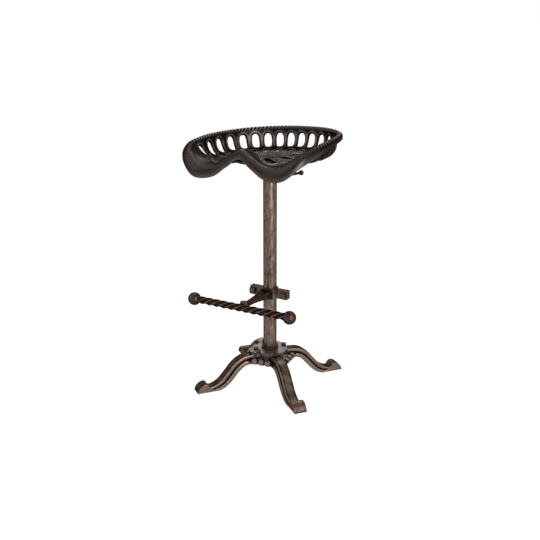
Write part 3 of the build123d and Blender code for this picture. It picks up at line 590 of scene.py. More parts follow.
def bearing(flat: np.ndarray) -> tuple[np.ndarray, np.ndarray]:
    """Returns the angle from the front and the reach of flat points."""
    return np.degrees(np.arctan2(flat[:, 0], -flat[:, 1])), np.hypot(flat[:, 0], flat[:, 1])


def inside(points: np.ndarray, loop: np.ndarray) -> np.ndarray:
    """Tells which points lie inside a closed loop in the plane.

    Args:
        points: Points as (count, 2).
        loop: Corners of the loop.

    Returns:
        One truth value per point.
    """
    x, y = points[:, :1], points[:, 1:2]
    ax, ay = loop[:, 0], loop[:, 1]
    bx, by = np.roll(ax, -1), np.roll(ay, -1)
    spans = (ay > y) != (by > y)
    with np.errstate(divide="ignore", invalid="ignore"):
        cross = x < (bx - ax) * (y - ay) / (by - ay) + ax
    return (np.sum(spans & cross, axis=1) % 2) == 1


# ---------------------------------------------------------------- the seat
@dataclass
class SeatPan:
    """The pierced cast pan: floor and wall, rolled rim with a rope moulding, slots with raised beads."""

    thickness: float = 5.5
    pad_start: float = 22.0                     # where the section begins, outside the middle of the pad
    pad_radius: float = 32.0
    pad_rise: float = 1.2
    roll_end: float = -88.0                     # slope of the roll's last line
    roll_rows: tuple[int, int, int] = (26, 9, 14)  # over the roll, round its lip and back under it
    columns: int = 1080
    length_steps: int = 160
    halvings: int = 30
    grid_mm: float = 5.0
    grid_reach: int = 300
    grid_inset: float = 9.0                     # of the grid from the roll
    rim_rings: tuple[tuple[float, int], ...] = ((2.6, 2), (6.0, 4))  # inset, and every how many columns
    ring_gap: float = 1.6                       # of the grid from the ring of a slot
    rope_pitch: float = 12.5
    rope_depth: float = 2.8
    rope_radius: float = 209.0
    rope_slant: float = 1.6                     # pitches that a strand runs on across the roll
    rope_share: float = 0.85                    # of the roll, which the rope covers
    rope_front: Range = (56, 70)                # degrees from the front over which the rope comes in
    lobe_back: Range = (60, 42)                 # degrees from the front over which the lobes begin
    worn_floor: Range = (132, 110)              # distance from the middle over which the dish is rubbed
    worn_lobes: Range = (250, 220)
    lobes_ahead: Range = (55, 85)               # distance ahead of the middle over which they begin
    floor_wear: float = 0.62
    lobe_wear: float = 0.2
    lobe_rim_wear: float = 0.26
    strand_wear: float = 1.25
    groove_wear: float = -0.6
    lip_slope: Range = (70, 88)                 # over which the roll's bronzed edge begins
    slot_width: float = 23.0
    slot_length: float = 44.0
    slot_margin: float = 13.0                   # from the roll down to a wall slot
    slot_turn: float = 2.4                      # of the ring of wall slots about the column
    slot_angles: tuple[float, ...] = (5.6, 16.7, 28.1, 39.8, 52.2, 65.6, 80.4, 95.4, 111.6)
    # x, y and radius of either end, of the slots that are mirrored
    inner_leaves: Rows = (
        (8, -40, 9.0, 66, -108, 13.5), (37, 1, 10.0, 80, -24, 7.5), (32, 40, 5.5, 86, 22, 6.0),
        (31, 61, 4.5, 86, 45, 6.0), (12, 75, 4.0, 52, 78, 5.0), (91, -86, 8.0, 99, -44, 3.5))
    # degrees from +X, nearest and furthest reach, and width, of the slots that fan out
    outer_leaves: Rows = (
        (-14, 118, 158, 13), (4, 118, 158, 13), (21, 114, 156, 13), (38, 110, 152, 13), (55, 106, 150, 12),
        (72, 100, 148, 12))
    back_leaf: tuple[float, ...] = (90, 100, 146, 12)
    # distance from the slot's edge, height over the surface and rubbing of each line of a moulding
    wall_ring: Rows = (
        (6.8, -0.4, 0), (6.2, 0.5, 0.2), (5.6, 1.1, 0.4), (4.9, 1.1, 0.4), (4.3, 0.5, 0.2), (3.4, -0.2, 0),
        (2.2, -0.7, 0), (1.0, -1.4, 0), (0.2, -2.6, 0), (0, -3.8, 0), (0.4, -5.2, 0), (1.4, -5.8, 0),
        (4.0, -5.9, 0), (6.8, -5.7, 0))
    leaf_ring: Rows = (
        (4.6, -0.4, 0.5), (4.1, 0.5, 0.8), (3.6, 1.0, 1.1), (3.0, 1.0, 1.0), (2.5, 0.5, 0.3), (1.9, -0.2, -0.6),
        (1.2, -0.8, -1), (0.4, -1.8, -1), (0, -3.2, -1), (0.3, -5.0, 0), (1.2, -5.8, 0), (3.0, -5.9, 0),
        (4.6, -5.7, 0))
    # x and y along the raised lines of one lobe
    veins: tuple[Rows, ...] = (
        ((3, -62), (10, -75), (33, -102), (54, -122), (72, -134), (84, -132), (90, -122), (91, -110), (91, -103)),
        ((2, -74), (9, -88), (30, -116), (52, -137), (72, -148), (90, -149), (112, -142), (126, -124),
         (132, -100), (131, -78)))
    # degrees from the front, and then the seven values that rim returns
    stations: Rows = (
        (0, 164, 783, 5, 18, 8, 0.28, 0.30), (12, 171, 765, 2, 24, 8, 0.42, 0.24),
        (24, 187, 742, 0, 27, 10, 0.62, 0.14), (36, 222, 740, -5, 26, 10, 0.75, 0.12),
        (48, 243, 770, 25, 19, 10, 0.80, 0.25), (60, 236, 787, 50, 16, 9, 0.85, 0.30),
        (76, 217, 795, 72, 12.5, 8, 0.94, 0.33), (96, 208, 798, 81, 10, 7, 0.98, 0.34),
        (120, 209, 798.5, 83, 10, 6, 1.0, 0.34), (150, 210, 799, 83, 10.5, 5, 1.0, 0.34),
        (180, 203, 800, 83, 10.5, 5, 1.0, 0.34))

    def __post_init__(self) -> None:
        """Measures the length of floor and wall at every degree, for unrolling the pan."""
        shares = np.linspace(0, 1, self.length_steps + 1)
        r, z = (self.bezier(c[:, :, None], shares) for c in self.section(np.arange(-180, 181), 0.0))
        run = np.hypot(np.diff(r), np.diff(z))
        self.lengths = np.pad(np.cumsum(run, axis=1), ((0, 0), (1, 0))) + self.pad_start

    def rim(self, angle: np.ndarray) -> np.ndarray:
        """Reads the rim's seven values at angles from the front.

        Args:
            angle: Degrees from the front.

        Returns:
            Reach, height, slope, roll radius, lip, level share and handle share, one row each.
        """
        folded = from_front(angle)
        table = np.array(self.stations, float)
        first, last = table[1].copy(), table[-2].copy()
        first[0], last[0] = -first[0], 360 - last[0]
        rows = np.vstack([first, table, last])
        x, y = rows[:, 0], rows[:, 1:]
        width = np.diff(x)
        step = np.diff(y, axis=0) / width[:, None]
        slope = (step[:-1] * width[1:, None] + step[1:] * width[:-1, None]) / (width[:-1] + width[1:])[:, None]
        i = np.clip(np.searchsorted(x, folded, side="left") - 1, 1, len(x) - 3)
        t = ((folded - x[i]) / width[i])[:, None]
        run = width[i][:, None]
        value = (y[i] * (2 * t ** 3 - 3 * t ** 2 + 1) + slope[i - 1] * run * (t ** 3 - 2 * t ** 2 + t)
                 + y[i + 1] * (3 * t ** 2 - 2 * t ** 3) + slope[i] * run * (t ** 3 - t ** 2))
        return value.T

    def section(self, angle: np.ndarray, depth: float) -> tuple[np.ndarray, np.ndarray]:
        """Gives the curve of floor and wall at angles, a depth under the surface.

        Args:
            angle: Degrees from the front.
            depth: Millimetres below the top surface.

        Returns:
            Reach and height of the four control points, each as (4, angles).
        """
        reach, height, slope, roll, _, level, share = self.rim(angle)
        tilt = np.radians(slope)
        end_r = reach - roll * np.sin(tilt)
        end_z = height - roll + roll * np.cos(tilt)
        handle = share * end_r
        flat = np.full_like(end_r, SEAT_HEIGHT - depth)
        r = np.stack([np.full_like(end_r, self.pad_start), level * end_r,
                      end_r - handle * np.cos(tilt) + depth * np.sin(tilt), end_r + depth * np.sin(tilt)])
        z = np.stack([flat, flat, end_z - handle * np.sin(tilt) - depth * np.cos(tilt),
                      end_z - depth * np.cos(tilt)])
        return r, z

    @staticmethod
    def bezier(controls: np.ndarray, share: np.ndarray) -> np.ndarray:
        """Returns the point of a cubic curve at a share of its length."""
        rest = 1 - share
        return (rest ** 3 * controls[0] + 3 * rest ** 2 * share * controls[1]
                + 3 * rest * share ** 2 * controls[2] + share ** 3 * controls[3])

    def surface(self, angle: np.ndarray, share: np.ndarray, depth: float = 0.0) -> np.ndarray:
        """Gives points of the pan before its lean.

        Args:
            angle: Degrees from the front.
            share: Share of the section's curve, 0 at the pad and 1 at the roll.
            depth: Millimetres below the top surface.

        Returns:
            One point per angle.
        """
        r, z = self.section(angle, depth)
        return around(self.bezier(r, share), angle, self.bezier(z, share))

    def share_at(self, plan: np.ndarray) -> tuple[np.ndarray, np.ndarray]:
        """Finds where points of the plan lie on the surface.

        Args:
            plan: Points as (count, 2).

        Returns:
            Degrees from the front, and share of the section's curve.
        """
        angle, reach = bearing(plan)
        controls, _ = self.section(angle, 0.0)
        low, high = np.zeros(len(plan)), np.ones(len(plan))
        for _ in range(self.halvings):
            middle = (low + high) / 2
            short = self.bezier(controls, middle) < reach
            low, high = np.where(short, middle, low), np.where(short, high, middle)
        return angle, (low + high) / 2

    def length_rows(self, angle: np.ndarray) -> np.ndarray:
        """Reads the lengths along the section, which were measured at every degree.

        Args:
            angle: Degrees from the front.

        Returns:
            Lengths at even steps of the section's share, one row per angle.
        """
        place = (np.asarray(angle, float) + 180) % 360
        low = np.minimum(place.astype(int), 359)
        part = (place - low)[:, None]
        return self.lengths[low] * (1 - part) + self.lengths[low + 1] * part

    def unrolled(self, angle: np.ndarray, share: np.ndarray) -> np.ndarray:
        """Lays points of the surface out flat, as far from the middle as they are along the section.

        Args:
            angle: Degrees from the front.
            share: Share of the section's curve.

        Returns:
            Flat points as (count, 2).
        """
        rows = self.length_rows(angle)
        place = np.clip(share, 0, 1) * self.length_steps
        low = np.minimum(place.astype(int), self.length_steps - 1)
        each, part = np.arange(len(rows)), place - low
        return around(rows[each, low] * (1 - part) + rows[each, low + 1] * part, angle)

    def from_plan(self, plan: np.ndarray) -> np.ndarray:
        """Returns the flat points of points seen from above."""
        return self.unrolled(*self.share_at(np.asarray(plan, float)))

    def point(self, flat: np.ndarray, depth: float = 0.0) -> np.ndarray:
        """Rolls flat points back onto the pan.

        Args:
            flat: Flat points as (count, 2).
            depth: Millimetres below the top surface.

        Returns:
            The points of the pan.
        """
        angle, length = bearing(flat)
        rows = self.length_rows(angle)
        low = np.clip((rows < length[:, None]).sum(axis=1) - 1, 0, self.length_steps - 1)
        each = np.arange(len(rows))
        part = (length - rows[each, low]) / (rows[each, low + 1] - rows[each, low])
        points = self.surface(angle, np.clip((low + part) / self.length_steps, 0, 1), depth)
        near = length < self.pad_start
        points[near, :2] = flat[near]
        return points

    def normals(self, flat: np.ndarray) -> np.ndarray:
        """Finds which way the top surface faces.

        Args:
            flat: Flat points as (count, 2).

        Returns:
            The outward normals.
        """
        step = 0.5
        east = self.point(flat + [step, 0]) - self.point(flat - [step, 0])
        north = self.point(flat + [0, step]) - self.point(flat - [0, step])
        return unit(np.cross(east, north))

    def wall_loop(self, from_back: float, grow: float, count: int = 72) -> np.ndarray:
        """Outlines one slot of the wall.

        Args:
            from_back: Degrees from the back.
            grow: Millimetres that the outline lies outside the slot's edge.
            count: Points of the outline.

        Returns:
            Flat points as (count, 2).
        """
        centre = 180.0 - from_back
        shares = np.linspace(1, 0.2, 400)
        run = run_along(self.surface(np.full(len(shares), centre), shares))
        shape = oval(self.slot_width / 2 + grow, self.slot_length / 2 + grow, count, 2.5)
        share = np.interp(self.slot_margin + self.slot_length / 2 - shape[:, 1], run, shares)
        reach = self.bezier(self.section(np.full(count, centre), 0.0)[0], share)
        return self.unrolled(centre + np.degrees(shape[:, 0] / reach), share)

    def leaf_loop(self, ends: Sequence[float], grow: float, count: int = 64) -> np.ndarray:
        """Outlines one leaf-shaped floor slot.

        Args:
            ends: Middle (x, y) and radius of one round end, then of the other.
            grow: Millimetres that the outline lies outside the slot's edge.
            count: Points of the outline.

        Returns:
            Flat points as (count, 2).
        """
        x, y, narrow, far_x, far_y, wide = ends
        span, turn = math.hypot(far_x - x, far_y - y), math.atan2(far_y - y, far_x - x)
        quarter = math.pi / 2 + math.asin((wide - narrow) / span)
        halves = ((span, wide + grow, np.linspace(-quarter, quarter, 48)),
                  (0, narrow + grow, np.linspace(quarter, 2 * math.pi - quarter, 48)))
        loop = np.vstack([np.stack([middle + radius * np.cos(arc), radius * np.sin(arc)], axis=1)
                          for middle, radius, arc in halves])
        closed = np.vstack([loop, loop[:1]])
        loop = evenly(closed, np.linspace(0, run_along(closed)[-1], count, endpoint=False))
        c, s = math.cos(turn), math.sin(turn)
        return self.from_plan(loop @ np.array([[c, s], [-s, c]]) + [x, y])

    def leaf_ends(self) -> list[tuple[float, ...]]:
        """Lists the floor slots.

        Returns:
            Middle (x, y) and radius of the two round ends of each.
        """
        made = [(side * x, y, r, side * far_x, far_y, far_r)
                for side in (-1, 1) for x, y, r, far_x, far_y, far_r in self.inner_leaves]
        radial = [(turn if side > 0 else 180 - turn, *sizes)
                  for side in (-1, 1) for turn, *sizes in self.outer_leaves]
        for turn, inner, outer, width in radial + [self.back_leaf]:
            c, s = math.cos(math.radians(turn)), math.sin(math.radians(turn))
            near, far = inner + width / 4, outer - width / 2
            made.append((near * c, near * s, width / 4, far * c, far * s, width / 2))
        return made

    def outlines(self) -> list[tuple[Callable[[float], np.ndarray], Rows]]:
        """Lists the slots of wall and floor.

        Returns:
            Each one's outline, as a function of how far it is grown, and the moulding of its edge.
        """
        made = [(lambda grow, at=side * angle - self.slot_turn: self.wall_loop(at, grow), self.wall_ring)
                for side in (-1, 1) for angle in self.slot_angles]
        made += [(lambda grow, ends=ends: self.leaf_loop(ends, grow), self.leaf_ring)
                 for ends in self.leaf_ends()]
        return made

    def rope(self, angle: np.ndarray, share: float) -> tuple[np.ndarray, np.ndarray]:
        """Gives the rope moulding on the rim.

        Args:
            angle: Degrees from the front.
            share: Place across the roll, 0 inside and 1 at the lip.

        Returns:
            Height of the strands, from 0 in the grooves to 1 on the strands, and where the rope runs.
        """
        across = math.sin(math.pi * min(1.0, max(0.0, share / self.rope_share))) ** 0.6
        window = fade(from_front(angle), *self.rope_front) * across
        run = angle / 360 * 2 * math.pi * self.rope_radius
        strand = np.abs(np.sin(math.pi * (run / self.rope_pitch + self.rope_slant * share)))
        return strand, window

    def spots(self, edge: np.ndarray) -> np.ndarray:
        """Spreads points between the rim and the rings of the slots.

        Args:
            edge: Flat outline of the rim.

        Returns:
            Flat points as (count, 2).
        """
        def drawn_in(line: np.ndarray, inset: float) -> np.ndarray:
            """Returns a line moved towards the middle."""
            return line * (1 - inset / np.linalg.norm(line, axis=1, keepdims=True))

        # rows 0.866 as far apart as their points, which makes even triangles
        gx, gy = np.meshgrid(*(np.arange(-self.grid_reach, self.grid_reach + 1, step)
                               for step in (self.grid_mm, self.grid_mm * 0.866)))
        gx[1::2] += self.grid_mm / 2
        spots = np.stack([gx.ravel(), gy.ravel()], axis=1)
        spots = np.vstack([spots[inside(spots, drawn_in(edge, self.grid_inset))]]
                          + [drawn_in(edge[::every], inset) for inset, every in self.rim_rings])
        for loop, ring in self.outlines():
            spots = spots[~inside(spots, loop(ring[1][0] + self.ring_gap))]
        return spots

    def pierced(self, edge: np.ndarray) -> tuple[np.ndarray, np.ndarray, np.ndarray]:
        """Divides the flat pan into triangles and leaves out the slots.

        Args:
            edge: Flat outline of the rim.

        Returns:
            Flat points, the three points of each triangle, and which points lie on the rim.
        """
        loops = [edge] + [loop(ring[1][0]) for loop, ring in self.outlines()]
        lines: list[tuple[int, int]] = []
        for loop in loops:
            first = len(lines)
            lines += [(first + i, first + (i + 1) % len(loop)) for i in range(len(loop))]
        flat = np.vstack(loops + [self.spots(edge)])
        found = delaunay_2d_cdt([Vector(p) for p in flat], lines, [], 0, 1e-6, True)
        plan = np.array([tuple(v) for v in found[0]])
        faces = np.array([tuple(f) for f in found[2]])
        centre = plan[faces].mean(axis=1)
        keep = inside(centre, edge)
        for loop in loops[1:]:
            keep &= ~inside(centre, loop)
        faces = faces[keep]
        a, b, c = (plan[faces[:, k]] for k in range(3))
        clockwise = np.cross(b - a, c - a) < 0
        faces[clockwise] = faces[clockwise][:, ::-1]
        return plan, faces, np.array([bool(origin) and min(origin) < len(edge) for origin in found[3]])

    def sheet(self, shell: Shell) -> None:
        """Adds the floor and wall, both faces, with the slots cut out, and the roll and lip.

        Args:
            shell: The piece that takes them.
        """
        angle = np.arange(self.columns) * 360 / self.columns
        plan, triangles, on_rim = self.pierced(self.unrolled(angle, np.ones(self.columns)))
        total, upper = len(plan), [tuple(f) for f in triangles.tolist()]
        faces = upper + [tuple(total + i for i in reversed(f)) for f in upper]
        sides = dict.fromkeys(side for f in upper for side in zip(f, f[1:] + f[:1]))
        for a, b in sides:
            if (b, a) not in sides and not (on_rim[a] and on_rim[b]):
                faces.append((b, a, total + a, total + b))
        _, out = bearing(plan)
        ahead = fade(-plan[:, 1], *self.lobes_ahead)
        rubbed = (self.floor_wear * fade(out, *self.worn_floor) * (1 - ahead)
                  + self.lobe_wear * ahead * fade(out, *self.worn_lobes))
        shell.add(np.vstack([self.point(plan), self.point(plan, self.thickness)]), faces,
                  wear=np.concatenate([rubbed, np.zeros(total)]))
        self.roll(shell, angle)

    def roll(self, shell: Shell, angle: np.ndarray) -> None:
        """Adds the rolled rim and its lip, from the top surface round to the under surface.

        Args:
            shell: The piece that takes them.
            angle: Degrees from the front of each column.
        """
        reach, height, slope, roll, lip, _, _ = self.rim(angle)
        start, end, half = np.radians(slope), math.radians(self.roll_end), self.thickness / 2
        front = fade(from_front(angle), *self.lobe_back)
        over, bends, back = self.roll_rows
        lines: list[tuple[Any, ...]] = []       # reach, height, wear and wash of each line
        for share in np.linspace(0, 1, over):
            tilt = start + (end - start) * share
            strand, window = self.rope(angle, float(share))
            out = roll + self.rope_depth * window * (strand - 1)
            down = fade(-np.degrees(tilt), *self.lip_slope)
            # strands rubbed and grooves dark; the lobes' rim rubbed on top; the lip's edge bronzed
            lines.append((reach - out * np.sin(tilt), height - roll + out * np.cos(tilt),
                          0.1 * np.sin(math.pi * share) + 0.1 * down
                          + window * (self.strand_wear * strand + self.groove_wear)
                          + self.lobe_rim_wear * front * np.clip(1.15 - 1.4 * share, 0, 1),
                          0.38 * down + 0.15 * front * (1 - share)))
        foot = height - roll + roll * math.cos(end) - lip
        middle = reach - (roll - half) * math.sin(end)
        for bend in np.linspace(0, math.pi, bends):
            lines.append((middle + half * math.cos(bend), foot - half * math.sin(bend), 0.25, 0.8))
        inner = roll - self.thickness
        for share in np.linspace(1, 0, back):
            tilt = start + (end - start) * share
            lines.append((reach - inner * np.sin(tilt), height - roll + inner * np.cos(tilt), 0.0, 0.3))
        r, z, wear, wash = (np.array([np.broadcast_to(line[k], reach.shape) for line in lines])[:, ::-1]
                            for k in range(4))
        shell.grid(around(r, angle[::-1], z), wear=wear, wash=wash)

    def moulding(self, shell: Shell, loop: Callable[[float], np.ndarray], ring: Rows) -> None:
        """Adds the edge of one slot: a raised ring, a hollow inside it and the bevelled hole.

        Args:
            shell: The piece that takes it.
            loop: The slot's outline, as a function of how far it is grown.
            ring: Distance from the edge, height over the surface and rubbing of each line.
        """
        rows = []
        for grow, lift, _ in ring:
            flat = loop(grow)
            rows.append(self.point(flat) + lift * self.normals(flat))
        wear = np.repeat([rub for _, _, rub in ring], len(rows[0]))
        shell.grid(np.array(rows), close_along=True, wear=wear)

    def vein(self, shell: Shell, plan: Sequence[tuple[float, float]], width: float = 2.0,
             rise: float = 2.0, count: int = 80) -> None:
        """Adds a raised line on the surface, tapered at both ends.

        Args:
            shell: The piece that takes it.
            plan: Points that it passes through, seen from above.
            width: Half of its width.
            rise: Its height.
            count: Points along it.
        """
        line = self.from_plan(smooth_line(plan, count))
        path, normal = self.point(line), self.normals(line)
        side = unit(np.cross(unit(np.gradient(path, axis=0)), normal))
        place = np.arange(count)
        size = np.clip(np.minimum(place, place[::-1]) / 8, 0.05, 1) ** 0.5
        section = oval(width, rise, 10)
        wear = np.tile(0.9 * np.clip(section[:, 1] / rise, 0, 1), (count, 1))
        shell.grid(swept(path, side, normal, section, size), caps=True, wear=wear)

    def pad(self, shell: Shell) -> None:
        """Adds the flat black pad in the middle, for the bolts of the hub.

        Args:
            shell: The piece that takes it.
        """
        top, bottom = SEAT_HEIGHT + self.pad_rise, SEAT_HEIGHT - self.thickness - self.pad_rise
        radius = self.pad_radius
        profile = [(0.01, bottom), (radius - 1, bottom), (radius, bottom + 1), (radius, top - 1),
                   (radius - 0.3, top - 0.3), (radius - 1, top), (0.01, top)]
        shell.grid(revolved(profile, 72)[:, ::-1], caps=True, wear=0.05)

    def build(self) -> None:
        """Makes the pan and its pad."""
        shell, middle = Shell(), Shell()
        self.sheet(shell)
        for loop, ring in self.outlines():
            self.moulding(shell, loop, ring)
        for mirror in (-1, 1):
            for line in self.veins:
                self.vein(shell, [(mirror * x, y) for x, y in line])
        self.pad(middle)
        shell.place(leaning()).build("seat_pan_casting", Finish.SEAT, "seat", "seat_iron", ["seat_pan"], sharp=55)
        middle.place(leaning()).build("seat_pan_pad", Finish.FLAT_BLACK, "seat", "seat_iron")


@dataclass
class PaintedShadeTray:
    """A black tray between the pan and its hub, seen through the slots of the floor: painted shade that makes the
    slots look dark.
    """

    inner: float = 31.0
    radius: float = 109.0
    top: float = 726.6
    thickness: float = 2.2
    rim_top: float = 728.3  # of the turned-up edge
    ribs: int = 8           # under the tray, deepest at the middle
    rib_depth: float = 5.0
    rib_width: float = 4.0
    rib_rows: int = 8

    def build(self) -> None:
        """Makes the tray with its turned-up rim and the ribs under it."""
        bottom, bend = self.top - self.thickness, self.radius - 12
        profile = [(self.inner, bottom), (bend, bottom), (self.radius - 3.4, bottom + 1.4),
                   (self.radius, self.rim_top - 0.8), (self.radius - 1.2, self.rim_top),
                   (self.radius - 2.8, self.rim_top - 0.6), (self.radius - 5.6, self.top + 0.5),
                   (bend - 1, self.top), (self.inner, self.top)]
        shell = Shell()
        shell.grid(revolved(profile, 96), close_along=True)
        rib = []
        for reach in np.linspace(self.inner + 3, bend, self.rib_rows):
            deep = 1.0 + self.rib_depth * (1 - (reach - self.inner) / (bend - self.inner)) ** 0.7
            section = ((-1, -1), (1, -1), (0.8, deep - 1), (0.5, deep), (-0.5, deep), (-0.8, deep - 1))
            rib.append([(reach, across * self.rib_width / 2, bottom - down) for across, down in section])
        for turn in ring_angles(self.ribs):
            c, s = math.cos(turn), math.sin(turn)
            shell.grid(np.array(rib) @ np.array([[c, s, 0], [-s, c, 0], [0, 0, 1]]), caps=True)
        shell.place(leaning())
        # painted shade: a flat black sheet that darkens what is seen through the floor's slots
        shell.build("seat_painted_shade_tray", Finish.FLAT_BLACK, "seat", "seat_iron")


# ---------------------------------------------------------------- the base
@dataclass
class Leg:
    """One cast leg: a crowned top, a deep groove in each side over a flared band, a quarter-round toe."""

    half_width: float = 17.0
    toe_half_width: float = 20.2
    flare: float = 4.6      # how far the band stands out under the groove
    groove: float = 3.2     # depth of the groove
    crown: float = 2.6      # rise of the top over its edges
    # reach and height along the top edge and along the bottom
    top: Rows = (
        (30, 104), (50, 104), (70, 104), (100, 99.5), (128, 82), (152, 55), (174, 30.5), (194, 18), (211, 13.5))
    under: Rows = (
        (30, 72), (45, 72), (60, 72.6), (82, 73.5), (98, 67.5), (116, 51.5), (136, 27.5), (156.5, 9.5), (177, 0.4))
    # reach and height of the top, and reach of the sole under it
    toe: Rows = (
        (211.6, 13.6, 178.2), (213.0, 15.5, 190), (214.2, 20.5, 198), (216.5, 24.8, 206), (220.0, 27.0, 213),
        (224.0, 27.5, 220), (230.0, 26.6, 228), (236.0, 24.2, 235), (241.5, 20.5, 241), (246.0, 15.8, 246),
        (249.3, 10.2, 249.3), (251.2, 4.6, 251.2), (251.6, 1.2, 251.6))
    rows: int = 46
    first_rows: int = 9     # over which groove and flare come in
    last_rows: Range = (2.0, 3.0)     # over which groove and flare end in the toe
    wash: float = -0.15     # of the leg where marks gives none
    toe_wash: float = 0.75
    toe_crown_wash: float = 0.1
    toe_wear: float = 0.3   # of the toe, as a share of the leg's
    # wear and wash of each point of the section, from the middle of the top to the band's lower edge
    marks: Rows = (
        (0.08, 0.0), (0.15, 0.0), (0.03, -0.15), (0.0, -0.3), (0.25, 0.2), (0.6, 0.4), (0.6, 0.5),
        (0.3, 0.5), (0.25, 0.4), (0.25, 0.4), (0.35, 0.3), (0.2, -0.4), (0.0, -0.9), (0.0, -0.9),
        (0.0, -0.6), (0.45, 0.3), (0.5, 0.6), (0.3, 0.6), (0.3, 0.6), (0.5, 0.6), (0.3, 0.3))

    def section(self, height: float, flute: float, half_width: float, flare: float) -> np.ndarray:
        """Gives half of one cross-section, from the middle of the top to the middle of the bottom.

        Args:
            height: Depth of the leg there.
            flute: How far the groove is formed, from 0 to 1.
            half_width: Half of its width above the groove.
            flare: How much further the band under the groove stands out.

        Returns:
            Sideways place and depth under the top edge of each point.
        """
        w, h, low = half_width, height, half_width + flare
        drop, cut = self.crown * (0.3 + 0.7 * flute), self.groove * flute
        return np.array([
            (0, 0), (w * 0.4, drop * 0.05), (w * 0.65, drop * 0.12), (w * 0.78, drop * 0.2),
            (w * 0.87, drop * 0.32), (w * 0.95, drop * 0.6), (w * 0.99, drop), (w, drop + 1.6),
            (w + flare * 0.1, h * 0.2), (w + flare * 0.1, h * 0.28), (w, h * 0.35), (w - cut * 0.15, h * 0.375),
            (w - cut, h * 0.41), (w - cut, h * 0.50), (w - cut * 0.1, h * 0.53), (low - flare * 0.35, h * 0.555),
            (low - flare * 0.12, h * 0.6), (low, h * 0.72), (low, h * 0.93), (low * 0.985, h * 0.985),
            (low * 0.95, h), (low * 0.5, h), (0, h)])

    def build(self, name: str, turn: float) -> None:
        """Makes one leg.

        Args:
            name: The CAD node that it stands for.
            turn: Degrees from +X.
        """
        toe = np.array(self.toe)
        tops = np.vstack([smooth_line(self.top, self.rows), toe[:, :2]])
        unders = np.vstack([smooth_line(self.under, self.rows), toe[:, 2:] * [1, 0]])
        spread = self.toe_half_width - self.half_width
        rows, wear, wash = [], [], []
        for i, (a, b) in enumerate(zip(tops, unders)):
            past = max(0, i - self.rows)
            start, share = min(1.0, i / self.first_rows), min(1.0, i / (self.rows - 1))
            flute = start * max(0.0, 1 - past / self.last_rows[0])
            grown = min(1.0, past / self.last_rows[1])
            flare = start * (self.flare + (spread - self.flare) * share ** 2) * (1 - grown)
            height = float(np.linalg.norm(b - a))
            half = self.section(height, flute, self.half_width + spread * grown, flare)
            line = np.vstack([half, half[-2:0:-1] * [-1, 1]])
            down = (b - a) / max(height, 1e-6)
            rows.append(np.stack([a[0] + line[:, 1] * down[0], line[:, 0], a[1] + line[:, 1] * down[1]], axis=1))
            rim = np.zeros(len(line))
            bronze = np.full(len(line), self.toe_wash if past else self.wash)
            if past:
                bronze[:6] = bronze[-5:] = self.toe_crown_wash
            for place, (rub, amount) in enumerate(self.marks):
                rim[[place, -place]] = rub
                if not past:
                    bronze[[place, -place]] = amount
            wear.append(rim if past < self.last_rows[0] else rim * self.toe_wear)
            wash.append(bronze)
        shell = Shell()
        shell.grid(np.array(rows), caps=True, wear=np.array(wear), wash=np.array(wash))
        shell.place(turned("Z", turn))
        shell.build(name + "_casting", Finish.BASE, "base", "base_iron", [name], smooth=2)


@dataclass
class BeadedBrace:
    """Turned beads between two legs."""

    offset: float = 68.0
    height: float = 87.0
    core: float = 6.0       # radius between the beads
    bead: float = 9.6       # radius of a bead
    length: float = 20.0
    pitch: float = 22.0
    beads: int = 3
    reach: float = 50.0

    def build(self, name: str, turn: float) -> None:
        """Makes one brace.

        Args:
            name: The CAD node that it stands for.
            turn: Degrees from +X.
        """
        profile = [(0.01, -self.reach), (self.core, -self.reach)]
        for place in np.linspace(-self.reach, self.reach, 140)[1:-1]:
            bulge = 0.0
            for index in range(self.beads):
                near = (place - (index - (self.beads - 1) / 2) * self.pitch) / (self.length / 2)
                if abs(near) < 1:
                    bulge = max(bulge, (1 - abs(near) ** 2.2) ** 0.6)
            profile.append((self.core + (self.bead - self.core) * bulge, float(place)))
        profile += [(self.core, self.reach), (0.01, self.reach)]
        rows = revolved(profile, 40)
        out = np.hypot(rows[..., 0], rows[..., 1])
        shell = Shell()
        shell.grid(rows, caps=True, wear=(out > self.bead - 1.2) * 0.5, wash=(out > self.core + 2) * 0.9 - 0.6)
        shell.place(turned("Z", turn) @ Matrix.Translation((self.offset, 0, self.height)) @ turned("X", 90))
        shell.build(name + "_beads", Finish.BASE, "base", "base_iron", [name])


@dataclass
class Base:
    """The four legs and the braces between them."""

    first_leg: float = 50.65
    legs: tuple[str, ...] = ("leg_back_right", "leg_back_left", "leg_front_left", "leg_front_right")
    braces: tuple[str, ...] = ("brace_back", "brace_left", "brace_front", "brace_right")

    def build(self) -> None:
        """Makes the legs and braces."""
        for index, (leg, brace) in enumerate(zip(self.legs, self.braces)):
            turn = self.first_leg + 90 * index
            Leg().build(leg, turn)
            BeadedBrace().build(brace, turn + 45)


# ---------------------------------------------------------------- column and footrest
@dataclass
class Column:
    """The pipe that carries everything."""

    radius: float = 21.2
    wall: float = 3.2       # thickness of the pipe
    foot: float = 80.0
    top: float = 692.0

    def build(self) -> None:
        """Makes the pipe."""
        inner = self.radius - self.wall
        profile = [(inner, self.foot), (self.radius - 0.4, self.foot), (self.radius, self.foot + 0.4)]
        profile += [(self.radius, z) for z in np.linspace(self.foot + 6, self.top - 6, 40)]
        profile += [(self.radius, self.top - 0.8), (self.radius - 0.8, self.top), (inner, self.top)]
        shell = Shell()
        shell.grid(revolved(profile, 128), close_along=True)
        shell.build("column_pipe", Finish.PIPE, "base", "column_pipe", ["column_tube"])


